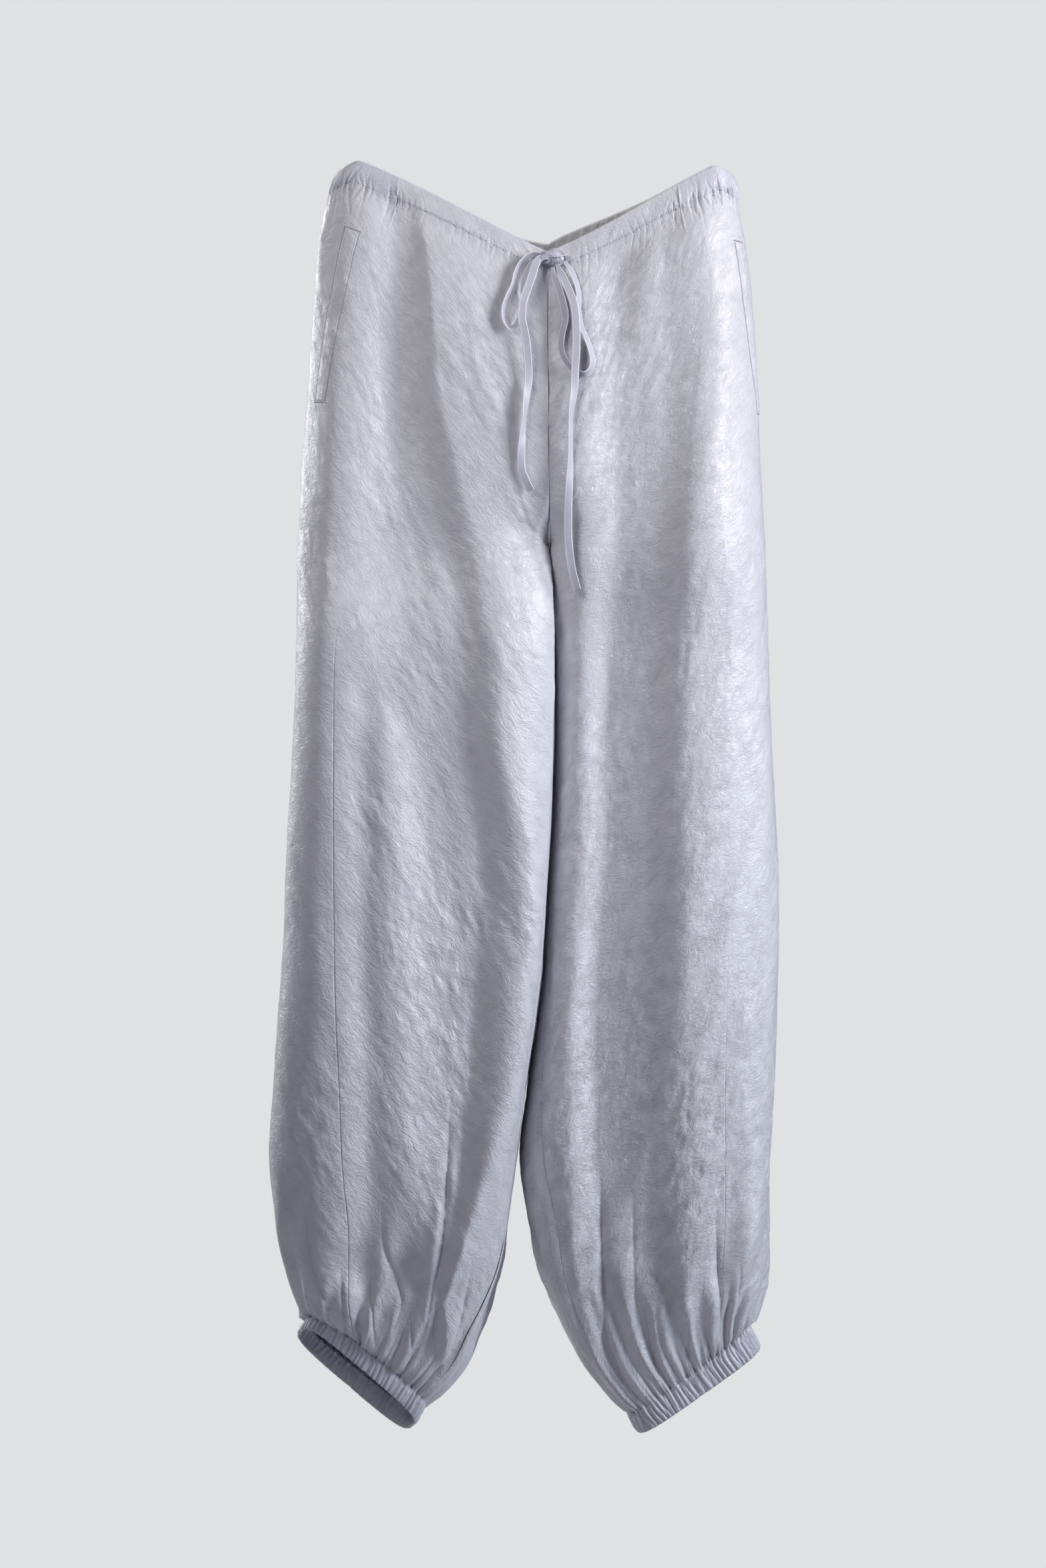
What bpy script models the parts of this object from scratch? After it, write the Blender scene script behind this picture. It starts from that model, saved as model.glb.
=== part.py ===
"""Balloon pants of thin crinkled satin, hung by the two side points of the waistband.

The script works in metres, +Z up. The front faces -Y and sides are the wearer's, so the right leg
is at -X. The origin lies midway between the two hanging points. Tables and driving sizes below are
in millimetres, and MM turns them into metres.

Each leg is one smooth form, read from a table of sections. A place on it is given by two numbers:
"around", which is 0 at the inner front edge, 1 at the outer front seam, 2 at the outer back seam and
3 at the inner back edge, and "down", the length of cloth from the top edge of the waistband.
Above the crotch a section is open, from centre front round the side to centre back. Below it the
section closes, and both inner edges meet at the inseam.
"""

import math

import bmesh
import bpy
import numpy as np

MM = 0.001

# Driving sizes
CLOTH = 1.2
BAND_CLOTH = 2.4
CUFF_CLOTH = 2.0
SEAM_GAP = 0.3
BAND_SEAM = 25
CUFF_SEAM = 1085
CUFF_HEM = 1102
CROTCH = 380
CROTCH_CURVE_TOP = 250
SPLIT_TOP, SPLIT_LOW = 130, 540
SPLIT_EDGE = 0.22
OPEN_FULLNESS = 0.9
CLOSED_FULLNESS = 0.8

# Sections of each leg. Places are x and z of the outer and the inner point, front and back are the
# half depths, lean moves the whole section back, pitch drops its back half, seam_front and
# seam_back are the shares of the way round at which the two outer seams lie, and turn is the angle
# by which the inseam lies forward of the innermost point.
SECTION_COLUMNS = (
    "down", "outer_x", "outer_z", "inner_x", "inner_z", "front", "back", "lean", "pitch",
    "seam_front", "seam_back", "turn",
)
RIGHT_SECTIONS = (
    (0, -172, -6, 10, -77, 20, 22, 0, 0, 0.239, 0.761, 0),
    (25, -179, -25, 10, -96, 24, 27, 0, 0, 0.232, 0.768, 0),
    (70, -186, -56, 10, -131, 32, 36, 0, 0, 0.24, 0.76, 0),
    (150, -192, -117, 10, -180, 41, 47, 0, 0, 0.245, 0.755, 0),
    (240, -198, -198, 10, -238, 48, 56, 0, 0, 0.26, 0.741, 0),
    (320, -203, -276, 11, -291, 52, 60, 0, 0, 0.285, 0.715, 0),
    (380, -206, -332, 11, -332, 52, 60, 0, 0, 0.307, 0.693, 0),
    (470, -207, -412, 14, -406, 53, 57, -11, 0, 0.308, 0.658, 8),
    (580, -212, -516, 15, -516, 53, 56, -12, 0, 0.296, 0.645, 11),
    (690, -217, -625, 10, -623, 53, 57, -12, 0, 0.281, 0.648, 13),
    (780, -221, -718, 3, -718, 54, 58, -12, 0, 0.268, 0.655, 14),
    (860, -227, -799, -9, -802, 55, 58, -11, 0, 0.251, 0.665, 14),
    (930, -230, -865, -18, -871, 54, 57, -8, 0, 0.241, 0.67, 14),
    (980, -224, -917, -27, -926, 51, 54, -4, 0, 0.234, 0.666, 15),
    (1020, -215, -949, -36, -969, 46, 49, 0, 0, 0.206, 0.644, 27),
    (1050, -207, -975, -51, -1011, 40, 43, 0, 3, 0.177, 0.622, 38),
    (1072, -202, -991, -69, -1048, 33, 36, 0, 7, 0.161, 0.62, 42),
    (1085, -199, -999, -97, -1077, 26, 28, 0, 11, 0.155, 0.64, 40),
    (1102, -205, -1010, -108, -1093, 25, 27, 0, 12, 0.152, 0.645, 40),
)
LEFT_SECTIONS = (
    (0, 170, -8, 10, -77, 20, 22, 0, 0, 0.234, 0.766, 0),
    (25, 174, -30, 10, -96, 24, 27, 0, 0, 0.233, 0.767, 0),
    (70, 178, -60, 10, -131, 32, 36, 0, 0, 0.24, 0.76, 0),
    (150, 187, -118, 10, -180, 41, 47, 0, 0, 0.248, 0.752, 0),
    (240, 192, -198, 10, -238, 48, 56, 0, 0, 0.265, 0.734, 0),
    (320, 195, -276, 11, -291, 52, 60, 0, 0, 0.29, 0.71, 0),
    (380, 198, -332, 11, -332, 52, 60, 0, 0, 0.304, 0.694, 0),
    (470, 201, -412, 14, -406, 53, 57, 11, 0, 0.296, 0.664, 8),
    (580, 205, -516, 14, -516, 53, 56, 12, 0, 0.273, 0.649, 14),
    (690, 209, -625, 9, -623, 53, 57, 12, 0, 0.25, 0.637, 20),
    (780, 209, -718, 2, -718, 54, 58, 12, 0, 0.227, 0.615, 28),
    (860, 206, -799, -8, -799, 55, 58, 11, 0, 0.207, 0.588, 37),
    (930, 202, -865, -14, -868, 54, 57, 8, 0, 0.185, 0.558, 48),
    (980, 201, -914, -4, -920, 51, 54, 4, 0, 0.177, 0.55, 50),
    (1020, 198, -951, 6, -961, 46, 49, 0, 0, 0.18, 0.553, 48),
    (1050, 194, -975, 25, -1001, 40, 43, 0, -1, 0.184, 0.564, 45),
    (1072, 188, -991, 49, -1046, 33, 36, 0, -3, 0.18, 0.578, 42),
    (1085, 184, -1003, 77, -1080, 26, 28, 0, -4, 0.162, 0.596, 40),
    (1102, 193, -1022, 88, -1096, 25, 27, 0, -5, 0.155, 0.6, 40),
)

# The top edge of the waistband stands above a straight line between its corner and its centre
WAIST_BOW = {"right": (16.8, 1.3), "left": (14.0, 2.2)}
WAIST_CORNER = 0.12
WAIST_FADE = (25, 160)
BACK_RISE = 4
BACK_PEAK = 14
BACK_PEAK_FROM, BACK_PEAK_TOP, BACK_PEAK_TO = -5, 30, 118

# Large folds: each is a crest or a valley that runs down the leg, given by its x and its height at
# the heights of FOLD_ROWS. Between neighbours the cloth runs in an even curve.
FOLD_ROWS = (-40, -120, -200, -300, -400, -500, -600, -700, -800, -900, -980)
FRONT_LINES = {
    "right": (
        ("side crest", (-150, -161, -167, -173, -177, -179, -181, -181, -180, -179, -170),
         (3, 5, 7, 8, 8, 8, 8, 8, 8, 7, 4)),
        ("side valley", (-118, -116, -115, -114, -109, -89, -72, -75, -79, -82, -95),
         (-4, -5, -6, -6, -6, -7, -7, -7, -7, -6, -4)),
        ("foot of the rise", (-110, -105, -103, -90, -68, -60, -52, -54, -60, -72, -88),
         (-3, -4, -4, -4, -4, -5, -7, -8, -8, -7, -4)),
        ("middle crest", (-98, -84, -79, -57, -30, -30, -10, -15, -27, -55, -78),
         (3, 6, 7, 8, 9, 10, 11, 12, 12, 12, 8)),
    ),
    "left": (
        ("middle crest", (38, 38, 38, 38, 38, 38, 36, 30, 28, 30, 34),
         (2, 3, 4, 5, 5, 5, 5, 6, 6, 6, 4)),
        ("middle valley", (73, 73, 73, 73, 66, 61, 60, 53, 52, 54, 58),
         (-3, -4, -5, -6, -6, -7, -7, -7, -7, -6, -4)),
        ("foot of the rise", (105, 105, 105, 105, 100, 96, 94, 92, 90, 92, 94),
         (0, 0, 0, 0, 1, 1, 1, 1, 1, 1, 1)),
        ("side crest", (139, 150, 150, 140, 133, 129, 129, 129, 131, 131, 129),
         (7, 11, 13, 15, 16, 17, 17, 17, 16, 14, 9)),
    ),
}
BACK_LINES = {
    "right": (
        ("side crest", (-148, -146, -145, -148, -158, -168, -172, -172, -168, -163, -150),
         (3, 6, 7, 8, 8, 8, 8, 8, 8, 7, 4)),
        ("side valley", (-112, -105, -102, -103, -108, -122, -130, -132, -130, -126, -115),
         (-4, -7, -8, -8, -8, -9, -9, -9, -9, -8, -4)),
        ("middle crest", (-62, -55, -52, -52, -56, -72, -80, -80, -82, -86, -85),
         (3, 6, 7, 7, 7, 8, 8, 8, 8, 7, 4)),
        ("middle valley", (-28, -30, -29, -22, -14, -30, -42, -46, -50, -56, -62),
         (-2, -4, -5, -5, -4, -7, -8, -8, -8, -6, -3)),
    ),
    "left": (
        ("middle valley", (30, 33, 33, 26, 20, 32, 31, 30, 33, 40, 46),
         (-2, -4, -5, -5, -4, -6, -7, -7, -7, -6, -3)),
        ("middle crest", (62, 61, 61, 62, 66, 76, 74, 72, 76, 84, 86),
         (3, 6, 7, 7, 7, 8, 8, 8, 8, 7, 4)),
        ("side valley", (108, 101, 99, 102, 110, 124, 130, 131, 130, 124, 116),
         (-4, -7, -8, -8, -8, -9, -9, -9, -9, -8, -4)),
        ("side crest", (140, 146, 149, 150, 152, 168, 171, 170, 166, 161, 152),
         (3, 6, 7, 8, 8, 8, 8, 8, 8, 7, 4)),
    ),
}
INNER_EDGE_HEIGHTS = {
    "right": (-1, -1, 0, 2, 6, 5, 3, 1, 0, 0, 0),
    "left": (-1, -1, 0, 2, 1, 0, 0, 0, 0, 0, 0),
}
FLAT_EDGE = (0,) * len(FOLD_ROWS)

# Smaller ridges and troughs of the front: x, z points down the fold, its half widths on the left
# and on the right of the picture, and its height, which is below 0 in a trough
RIDGE_COLUMNS = ("points", "left_width", "right_width", "height")
FRONT_RIDGES = {
    "right": (
        (((-146, -425), (-147, -500), (-148, -600), (-148, -700), (-146, -800), (-143, -900),
          (-141, -990)), 10, 10, -4),
        (((-132, -460), (-122, -600), (-118, -700), (-113, -800), (-101, -900), (-95, -975)), 14, 12, 5),
        (((-75, -830), (-74, -900), (-78, -940), (-90, -973), (-97, -1020)), 14, 7, 6),
    ),
    "left": (
        (((178, -700), (180, -780), (182, -880), (178, -960), (172, -1000)), 9, 12, 4),
        (((99, -42), (91, -117), (84, -157), (55, -203), (30, -236)), 12, 14, 4),
    ),
}
RIDGE_TAPER = 45

FACING = (0.05, 0.5)
INNER_EDGE_SHARE = 0.06
FOLD_START, FOLD_END = 60, 40
# The folds leave the centre seams, and then the inseams, between these distances down
SEAM_FOLDS = (180, 320)

# Gathers: waves in the front, side and back panel at the cuff, and in the side and back panel at
# the elastic part of the waistband
CUFF_WAVES = (6, 19, 15)
WAIST_WAVES = (12, 12)
CUFF_GATHER = 1.2
CUFF_GATHER_FADE = 16
WAIST_GATHER = 1.0
WAIST_GATHER_FADE = 20
# Puffs above the cuff: waves per gather, height, distance above the cuff seam and spread
PUFFS = ((0.5, 2.0, 30, 20), (0.25, 3.0, 70, 34))

# Rows of the panels by their distance down, and columns in the front, side and back panel
TOP_ROWS = (BAND_SEAM, 36, 56)
BODY_ROWS = (
    90, 130, 170, 210, 250, 282, 310, 335, 355, 370, 380, 395, 425, 465, 510, 555, 600, 645, 690,
    735, 780, 822, 862, 900, 935, 968, 1000,
)
LOW_ROWS = (1028, 1048, 1064, 1076, CUFF_SEAM)
TOP_COLUMNS = (12, 24, 24)
BODY_COLUMNS = (12, 9, 9)
LOW_COLUMNS = (12, 38, 30)

# Pocket welts: places on the side panel, from the welt's front edge to its back edge
WELT_COLUMNS = ("down", "front_edge", "back_edge")
WELTS = {
    "right": ((74, 1.11, 1.188), (160, 1.188, 1.266), (247, 1.25, 1.34)),
    "left": ((82, 1.285, 1.375), (150, 1.278, 1.366), (206, 1.315, 1.403), (258, 1.4, 1.488)),
}
WELT_ROWS = 9
WELT_LIFT = 0.3

# Drawstring: a flat tape tied in a bow. Each row is a point of the tape's middle line and the
# angle by which the tape turns there from lying flat against the cloth to standing on its edge.
TAPE_WIDTH = 7.0
TAPE_CLOTH = 1.2
TAPE_STEP = 7.0
TAPE_ROOT_WIDTH = 0.5
TAPE_ROOT_LENGTH = 15
KNOT_CENTRE = (14.5, -26.6, -83)
KNOT_RADII = (9.5, 4.7, 7)
KNOT_WRAP = 1.1
TAPES = {
    "drawstring_loop_right": (
        (5.5, -25.7, -79.5, 30), (-4, -26.8, -80, 45), (-12, -29.2, -86, 50), (-17, -32.1, -95, 50),
        (-20, -35, -107, 50), (-25, -38.4, -118, 50), (-28, -40.8, -128, 50), (-27, -42.6, -138, 55),
        (-23, -43.5, -144, 55), (-18, -42.2, -142, 50), (-14, -40, -134, 45), (-11, -37.2, -123, 40),
        (-11, -34.4, -111, 35), (-10, -31.4, -101, 30), (-7, -28.8, -92, 30), (-2, -27.1, -86, 25),
        (4.6, -26.2, -84, 20),
    ),
    "drawstring_end_right": (
        (9.6, -31.1, -82.8, 0), (2.8, -33.1, -83.4, 0), (-1, -34.8, -89.5, 0),
        (-3.7, -36.8, -98, 0), (-7.4, -40, -109, 0), (-11.8, -43.8, -123, 0),
        (-12.5, -47.3, -137, 0), (-10.5, -48.3, -148, 0), (-9, -48.6, -157, 0), (-7, -50, -185, 10),
        (-9, -52.9, -206, 40), (-11, -54.8, -224, 70), (-13, -55.5, -249, 20),
        (-13, -55.3, -266, 0), (-9, -54.6, -277, -10), (-5, -54, -285, -15),
    ),
    "drawstring_loop_left": (
        (23.8, -28, -85.7, 20), (31, -34, -97, 45), (36, -39, -113, 50), (36, -42.4, -128, 50),
        (38, -45, -142, 50), (43, -46.9, -154, 50), (47, -48.3, -166, 50), (48, -50.2, -176, 50),
        (44, -51.6, -183, 55), (38, -51.8, -184.5, 55), (30, -49.8, -179, 50), (24, -47, -171, 50),
        (21, -44.4, -161, 45), (22, -42.2, -149, 40), (24.5, -40.6, -137, 35), (23.5, -38.6, -126, 30),
        (19, -33.6, -110, 25), (14.5, -28.6, -96, 20), (14, -27, -90.5, 10),
    ),
    "drawstring_end_left": (
        (17.5, -30.4, -88.6, 0), (21, -37.4, -97.5, 0), (26.5, -42.4, -109.5, 0),
        (31.5, -46.8, -123, 0), (33.6, -50.4, -139, 0), (34, -53.6, -157, 0),
        (33, -56.2, -178, 5), (32, -57.4, -199, 25), (29.5, -57.4, -218, 55),
        (29, -57.7, -238, 60), (29, -57.8, -257, 50), (28, -57.4, -276, 25),
        (27, -56.4, -297, 5), (27, -55.2, -325, 0), (29, -54, -346, -5), (32, -53, -360, -10),
        (35, -52.2, -370, -15),
    ),
}

SATIN = (0.63, 0.62, 0.69)
SATIN_SHADE = (0.56, 0.55, 0.62)


class Leg:
    """One leg: its name, its side of the body and its sections."""

    def __init__(self, name, side, sections):
        self.name = name
        self.side = side
        columns = np.array(sections, dtype=float).T
        self.down = columns[0]
        self.values = dict(zip(SECTION_COLUMNS[1:], columns[1:]))

    def read(self, key, down):
        """A column of the section table, read as a smooth curve at any distance down."""
        return smooth_curve(self.down, self.values[key], down)


def smooth_curve(knots, values, at):
    """Values between knots, read as a smooth curve, and run straight on past the ends."""
    knots, values = np.asarray(knots, float), np.asarray(values, float)
    slopes = np.gradient(values, knots)
    i = np.clip(np.searchsorted(knots, at) - 1, 0, len(knots) - 2)
    step = knots[i + 1] - knots[i]
    t = (at - knots[i]) / step
    return (
        values[i] * (1 + 2 * t) * (1 - t) ** 2
        + slopes[i] * step * t * (1 - t) ** 2
        + values[i + 1] * t * t * (3 - 2 * t)
        - slopes[i + 1] * step * t * t * (1 - t)
    )


def smooth(value):
    """0 below 0, 1 above 1 and an even rise between."""
    value = np.clip(value, 0.0, 1.0)
    return value * value * (3 - 2 * value)


def fuller(value, fullness):
    """A sine or cosine drawn out so that a section is a little squarer than an ellipse."""
    return np.sign(value) * np.abs(value) ** fullness


def edge_open(down):
    """1 where the inner edges are apart, 0 below the crotch, and between them the rise's curve."""
    lower = np.clip((down - CROTCH_CURVE_TOP) / (CROTCH - CROTCH_CURVE_TOP), 0.0, 1.0)
    return np.sqrt(1 - lower * lower)


def open_share(share, down):
    """How far the section is open: the rise's curve at its inner edges, an even change between."""
    body = 1 - smooth((down - SPLIT_TOP) / (SPLIT_LOW - SPLIT_TOP))
    inward = smooth(np.minimum(share, 1 - share) / SPLIT_EDGE)
    return edge_open(down) * (1 - inward) + body * inward


def share_round(leg, around, down):
    """The share of the way round the section for a place given by panel."""
    front = leg.read("seam_front", down)
    back = leg.read("seam_back", down)
    side_panel = front + (around - 1) * (back - front)
    back_panel = back + (around - 2) * (1 - back)
    return np.where(around < 1, around * front, np.where(around < 2, side_panel, back_panel))


def waist_lift(leg, out, ahead, x, down):
    """Height by which the waist stands above the straight section, in front and behind."""
    height, power = WAIST_BOW[leg.name]
    inward = np.clip(1 - out, 0.0, 1.0)
    corner = smooth(inward / WAIST_CORNER)
    bow = height * corner * np.cos(inward * math.pi / 2) ** power
    climb = smooth((x - BACK_PEAK_FROM) / (BACK_PEAK_TOP - BACK_PEAK_FROM))
    fall = smooth((BACK_PEAK_TO - x) / (BACK_PEAK_TO - BACK_PEAK_TOP))
    behind = smooth(-1.5 * ahead) * corner * (BACK_RISE + BACK_PEAK * climb * fall)
    start, end = WAIST_FADE
    return (bow + behind) * (1 - smooth((down - start) / (end - start)))


def form(leg, around, down):
    """Points of the smooth form of a leg, without folds and gathers, in millimetres."""
    around, down = np.broadcast_arrays(np.asarray(around, float), np.asarray(down, float))
    read = {key: leg.read(key, down) for key in SECTION_COLUMNS[1:]}
    share = share_round(leg, around, down)
    opened = open_share(share, down)
    half_turn = math.pi * share
    full_turn = 2 * math.pi * share + np.radians(read["turn"])
    closed_out = (1 - fuller(np.cos(full_turn), CLOSED_FULLNESS)) / 2
    closed_ahead = fuller(np.sin(full_turn), CLOSED_FULLNESS)
    out = opened * fuller(np.sin(half_turn), OPEN_FULLNESS) + (1 - opened) * closed_out
    ahead = opened * fuller(np.cos(half_turn), OPEN_FULLNESS) + (1 - opened) * closed_ahead
    depth = np.where(ahead > 0, read["front"], read["back"])
    across_x = read["outer_x"] - read["inner_x"]
    across_z = read["outer_z"] - read["inner_z"]
    length = np.hypot(across_x, across_z)
    x = read["inner_x"] + across_x * out
    z = read["inner_z"] + across_z * out + waist_lift(leg, out, ahead, x, down)
    x = x + leg.side * SEAM_GAP / 2 - read["pitch"] * ahead * leg.side * across_z / length
    z = z + read["pitch"] * ahead * leg.side * across_x / length
    return np.stack([x, read["lean"] - depth * ahead, z], axis=-1)


def form_normal(leg, around, down):
    """Outward direction of the smooth form."""
    step_around, step_down = 0.01, 1.5
    along_row = form(leg, around + step_around, down) - form(leg, around - step_around, down)
    along_leg = form(leg, around, down + step_down) - form(leg, around, down - step_down)
    normal = np.cross(along_row, along_leg) * -leg.side
    return normal / np.linalg.norm(normal, axis=-1, keepdims=True)


def curve_across(places, heights, at):
    """An even curve through crests and valleys, for every point of a sheet at once.

    places and heights hold one array for each line, in the order of their x.
    """
    gaps = [np.maximum(b - a, 3.0) for a, b in zip(places, places[1:])]
    rises = [(b - a) / gap for a, b, gap in zip(heights, heights[1:], gaps)]
    slopes = [np.zeros_like(at)]
    for a, b in zip(rises, rises[1:]):
        both = a * b
        slopes.append(np.where(both > 0, 2 * both / np.where(both > 0, a + b, 1.0), 0.0))
    slopes.append(np.zeros_like(at))
    result = np.where(at <= places[0], heights[0], heights[-1])
    for k, gap in enumerate(gaps):
        t = np.clip((at - places[k]) / gap, 0.0, 1.0)
        value = (
            heights[k] * (1 + 2 * t) * (1 - t) ** 2
            + slopes[k] * gap * t * (1 - t) ** 2
            + heights[k + 1] * t * t * (3 - 2 * t)
            - slopes[k + 1] * gap * t * t * (1 - t)
        )
        inside = (at > places[k]) & (at <= places[k] + gap)
        result = np.where(inside, value, result)
    return result


def by_fold_rows(values, z):
    """Values given at FOLD_ROWS, read as a smooth curve at any height."""
    rows = np.array(FOLD_ROWS[::-1], float)
    return smooth_curve(rows, np.array(values[::-1], float), np.clip(z, rows[0], rows[-1]))


def line_relief(leg, lines, inner_heights, x, z, down):
    """Height of the large folds that run down a leg, from its crests and valleys."""
    places = [by_fold_rows(line_x, z) for _, line_x, _ in lines]
    heights = [by_fold_rows(line_height, z) for _, _, line_height in lines]
    outer, inner = leg.read("outer_x", down), leg.read("inner_x", down)
    outer_height, inner_height = np.zeros_like(x), by_fold_rows(inner_heights, z)
    if leg.side < 0:
        places, heights = [outer, *places, inner], [outer_height, *heights, inner_height]
    else:
        places, heights = [inner, *places, outer], [inner_height, *heights, outer_height]
    return curve_across(places, heights, x)


def ridge_relief(ridges, x, z):
    """Height of the smaller ridges and troughs, each a soft bell across its line."""
    relief = np.zeros_like(x)
    for row in ridges:
        ridge = dict(zip(RIDGE_COLUMNS, row))
        line_x, line_z = np.array(sorted(ridge["points"], key=lambda point: point[1]), float).T
        level = np.clip(z, line_z[0], line_z[-1])
        tilt = (smooth_curve(line_z, line_x, level + 1) - smooth_curve(line_z, line_x, level - 1)) / 2
        away = (x - smooth_curve(line_z, line_x, level)) / np.hypot(1, tilt)
        width = np.where(away < 0, ridge["left_width"], ridge["right_width"])
        ends = smooth((z - line_z[0]) / RIDGE_TAPER) * smooth((line_z[-1] - z) / RIDGE_TAPER)
        relief += ridge["height"] * ends * np.exp(-((away / width) ** 2) / 2)
    return relief


def wave_place(around, waves):
    """Which gather a place lies on, with the given number of gathers in each panel."""
    starts = np.concatenate([[0], np.cumsum(waves)])
    return np.interp(around, np.arange(len(starts)), starts)


def gather_relief(around, down):
    """Height of the gathers at the cuff and at the elastic part of the waistband."""
    above_cuff = np.maximum(CUFF_SEAM - down, 0)
    place = wave_place(around, CUFF_WAVES) * 2 * math.pi
    relief = CUFF_GATHER * np.cos(place) * np.exp(-above_cuff / CUFF_GATHER_FADE)
    for pace, height, centre, spread in PUFFS:
        swell = np.exp(-((above_cuff - centre) ** 2) / (2 * spread**2))
        relief = relief + height * np.cos(place * pace + pace) * swell * (above_cuff > 0)
    below_band = np.maximum(down - BAND_SEAM, 0)
    elastic = smooth((around - 1) * 12)
    waist_place = wave_place(around - 1, WAIST_WAVES) * 2 * math.pi
    waist = WAIST_GATHER * (1 - np.cos(waist_place)) * elastic
    return relief + waist * np.exp(-below_band / WAIST_GATHER_FADE)


def relief_of(leg, around, down, points, normals):
    """Height of folds and gathers over the smooth form."""
    low, high = FACING
    faces_front = smooth((-normals[..., 1] - low) / (high - low))
    faces_back = smooth((normals[..., 1] - low) / (high - low))
    share = share_round(leg, around, down)
    from_edge = smooth(np.minimum(share, 1 - share) / INNER_EDGE_SHARE)
    seam_start, seam_end = SEAM_FOLDS
    at_seam = 1 - smooth((down - seam_start) / (seam_end - seam_start))
    free = at_seam + (1 - at_seam) * from_edge
    x, z = points[..., 0], points[..., 2]
    front = line_relief(leg, FRONT_LINES[leg.name], INNER_EDGE_HEIGHTS[leg.name], x, z, down)
    front = front + ridge_relief(FRONT_RIDGES[leg.name], x, z)
    back = line_relief(leg, BACK_LINES[leg.name], FLAT_EDGE, x, z, down)
    folds = faces_front * front + faces_back * back
    below_band = smooth(down / FOLD_START)
    above_cuff = 1 - smooth((down - CUFF_SEAM + FOLD_END) / FOLD_END)
    folds = folds * below_band * above_cuff
    return folds * free + gather_relief(around, down)


def cloth(leg, around, down, thickness=CLOTH, lift=0.0):
    """Outer and inner points of the cloth at given places."""
    points = form(leg, around, down)
    normals = form_normal(leg, around, down)
    height = lift + relief_of(leg, around, down, points, normals)
    outer = points + normals * height[..., None]
    return outer, outer - normals * thickness


def seam_inset(leg, around, down, toward_around, toward_down):
    """Places moved half a seam's gap into the panel, along and across the leg."""
    step_around, step_down = 0.01, 1.0
    row_speed = form(leg, around + step_around, down) - form(leg, around - step_around, down)
    leg_speed = form(leg, around, down + step_down) - form(leg, around, down - step_down)
    row_speed = np.linalg.norm(row_speed, axis=-1) / (2 * step_around)
    leg_speed = np.linalg.norm(leg_speed, axis=-1) / (2 * step_down)
    half = SEAM_GAP / 2
    around = around + toward_around * half / row_speed
    down = down + toward_down * half / leg_speed
    return around, down


def stitch(row_a, row_b, places_a, places_b):
    """Triangles between two rows of vertices, whose numbers of vertices may differ."""
    faces = []
    i = j = 0
    while i < len(row_a) - 1 or j < len(row_b) - 1:
        advance_a = j == len(row_b) - 1 or (i < len(row_a) - 1 and places_a[i + 1] <= places_b[j + 1])
        if advance_a:
            faces.append((row_a[i], row_a[i + 1], row_b[j]))
            i += 1
        else:
            faces.append((row_a[i], row_b[j + 1], row_b[j]))
            j += 1
    return faces


def wall(rows, closed=False):
    """A closed wall from rows of (outer points, inner points, places). A closed row is a ring."""
    vertices, sides = [], []
    for side in (0, 1):
        numbers = []
        for row in rows:
            first = len(vertices)
            vertices.extend(map(tuple, row[side]))
            row_numbers = list(range(first, len(vertices)))
            numbers.append(row_numbers + row_numbers[:1] if closed else row_numbers)
        sides.append(numbers)
    faces = []
    places = [list(row[2]) + ([row[2][0] + row[3]] if closed else []) for row in rows]
    for numbers in sides:
        for k in range(len(rows) - 1):
            faces += stitch(numbers[k], numbers[k + 1], places[k], places[k + 1])
    outer, inner = sides
    borders = [(outer[0], inner[0]), (outer[-1], inner[-1])]
    if not closed:
        for end in (0, -1):
            borders.append(([row[end] for row in outer], [row[end] for row in inner]))
    for edge_a, edge_b in borders:
        for k in range(len(edge_a) - 1):
            faces.append((edge_a[k], edge_a[k + 1], edge_b[k + 1], edge_b[k]))
    return vertices, faces


def satin(name, colour):
    """A plain satin material."""
    material = bpy.data.materials.get(name) or bpy.data.materials.new(name)
    material.use_nodes = True
    shader = material.node_tree.nodes["Principled BSDF"]
    shader.inputs["Base Color"].default_value = (*colour, 1)
    shader.inputs["Roughness"].default_value = 0.42
    shader.inputs["Metallic"].default_value = 0.0
    return material


def add_object(name, vertices, faces, material, parent):
    """One sub-part from vertices in millimetres, with its faces turned outward."""
    mesh = bpy.data.meshes.new(name)
    mesh.from_pydata([tuple(value * MM for value in vertex) for vertex in vertices], [], faces)
    work = bmesh.new()
    work.from_mesh(mesh)
    bmesh.ops.recalc_face_normals(work, faces=work.faces)
    work.to_mesh(mesh)
    work.free()
    mesh.materials.append(material)
    mesh.shade_smooth()
    mesh.set_sharp_from_angle(angle=math.radians(50))
    part = bpy.data.objects.new(name, mesh)
    part.parent = parent
    bpy.context.scene.collection.objects.link(part)
    return part


def panel_rows(leg, panel):
    """Rows of one panel, 0 front, 1 side or 2 back, with the seam gap kept on all four edges."""
    rows = []
    groups = ((TOP_ROWS, TOP_COLUMNS), (BODY_ROWS, BODY_COLUMNS), (LOW_ROWS, LOW_COLUMNS))
    for downs, columns in groups:
        for down in downs:
            around = panel + np.linspace(0, 1, columns[panel] + 1)
            toward_around = np.zeros_like(around)
            toward_around[0], toward_around[-1] = 1, -1
            if panel == 0:
                toward_around[0] = 1 - edge_open(down)
            if panel == 2:
                toward_around[-1] = edge_open(down) - 1
            toward_down = {BAND_SEAM: 1, CUFF_SEAM: -1}.get(down, 0)
            places = seam_inset(leg, around, np.full_like(around, down), toward_around, toward_down)
            rows.append((*cloth(leg, *places), around))
    return rows


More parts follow.
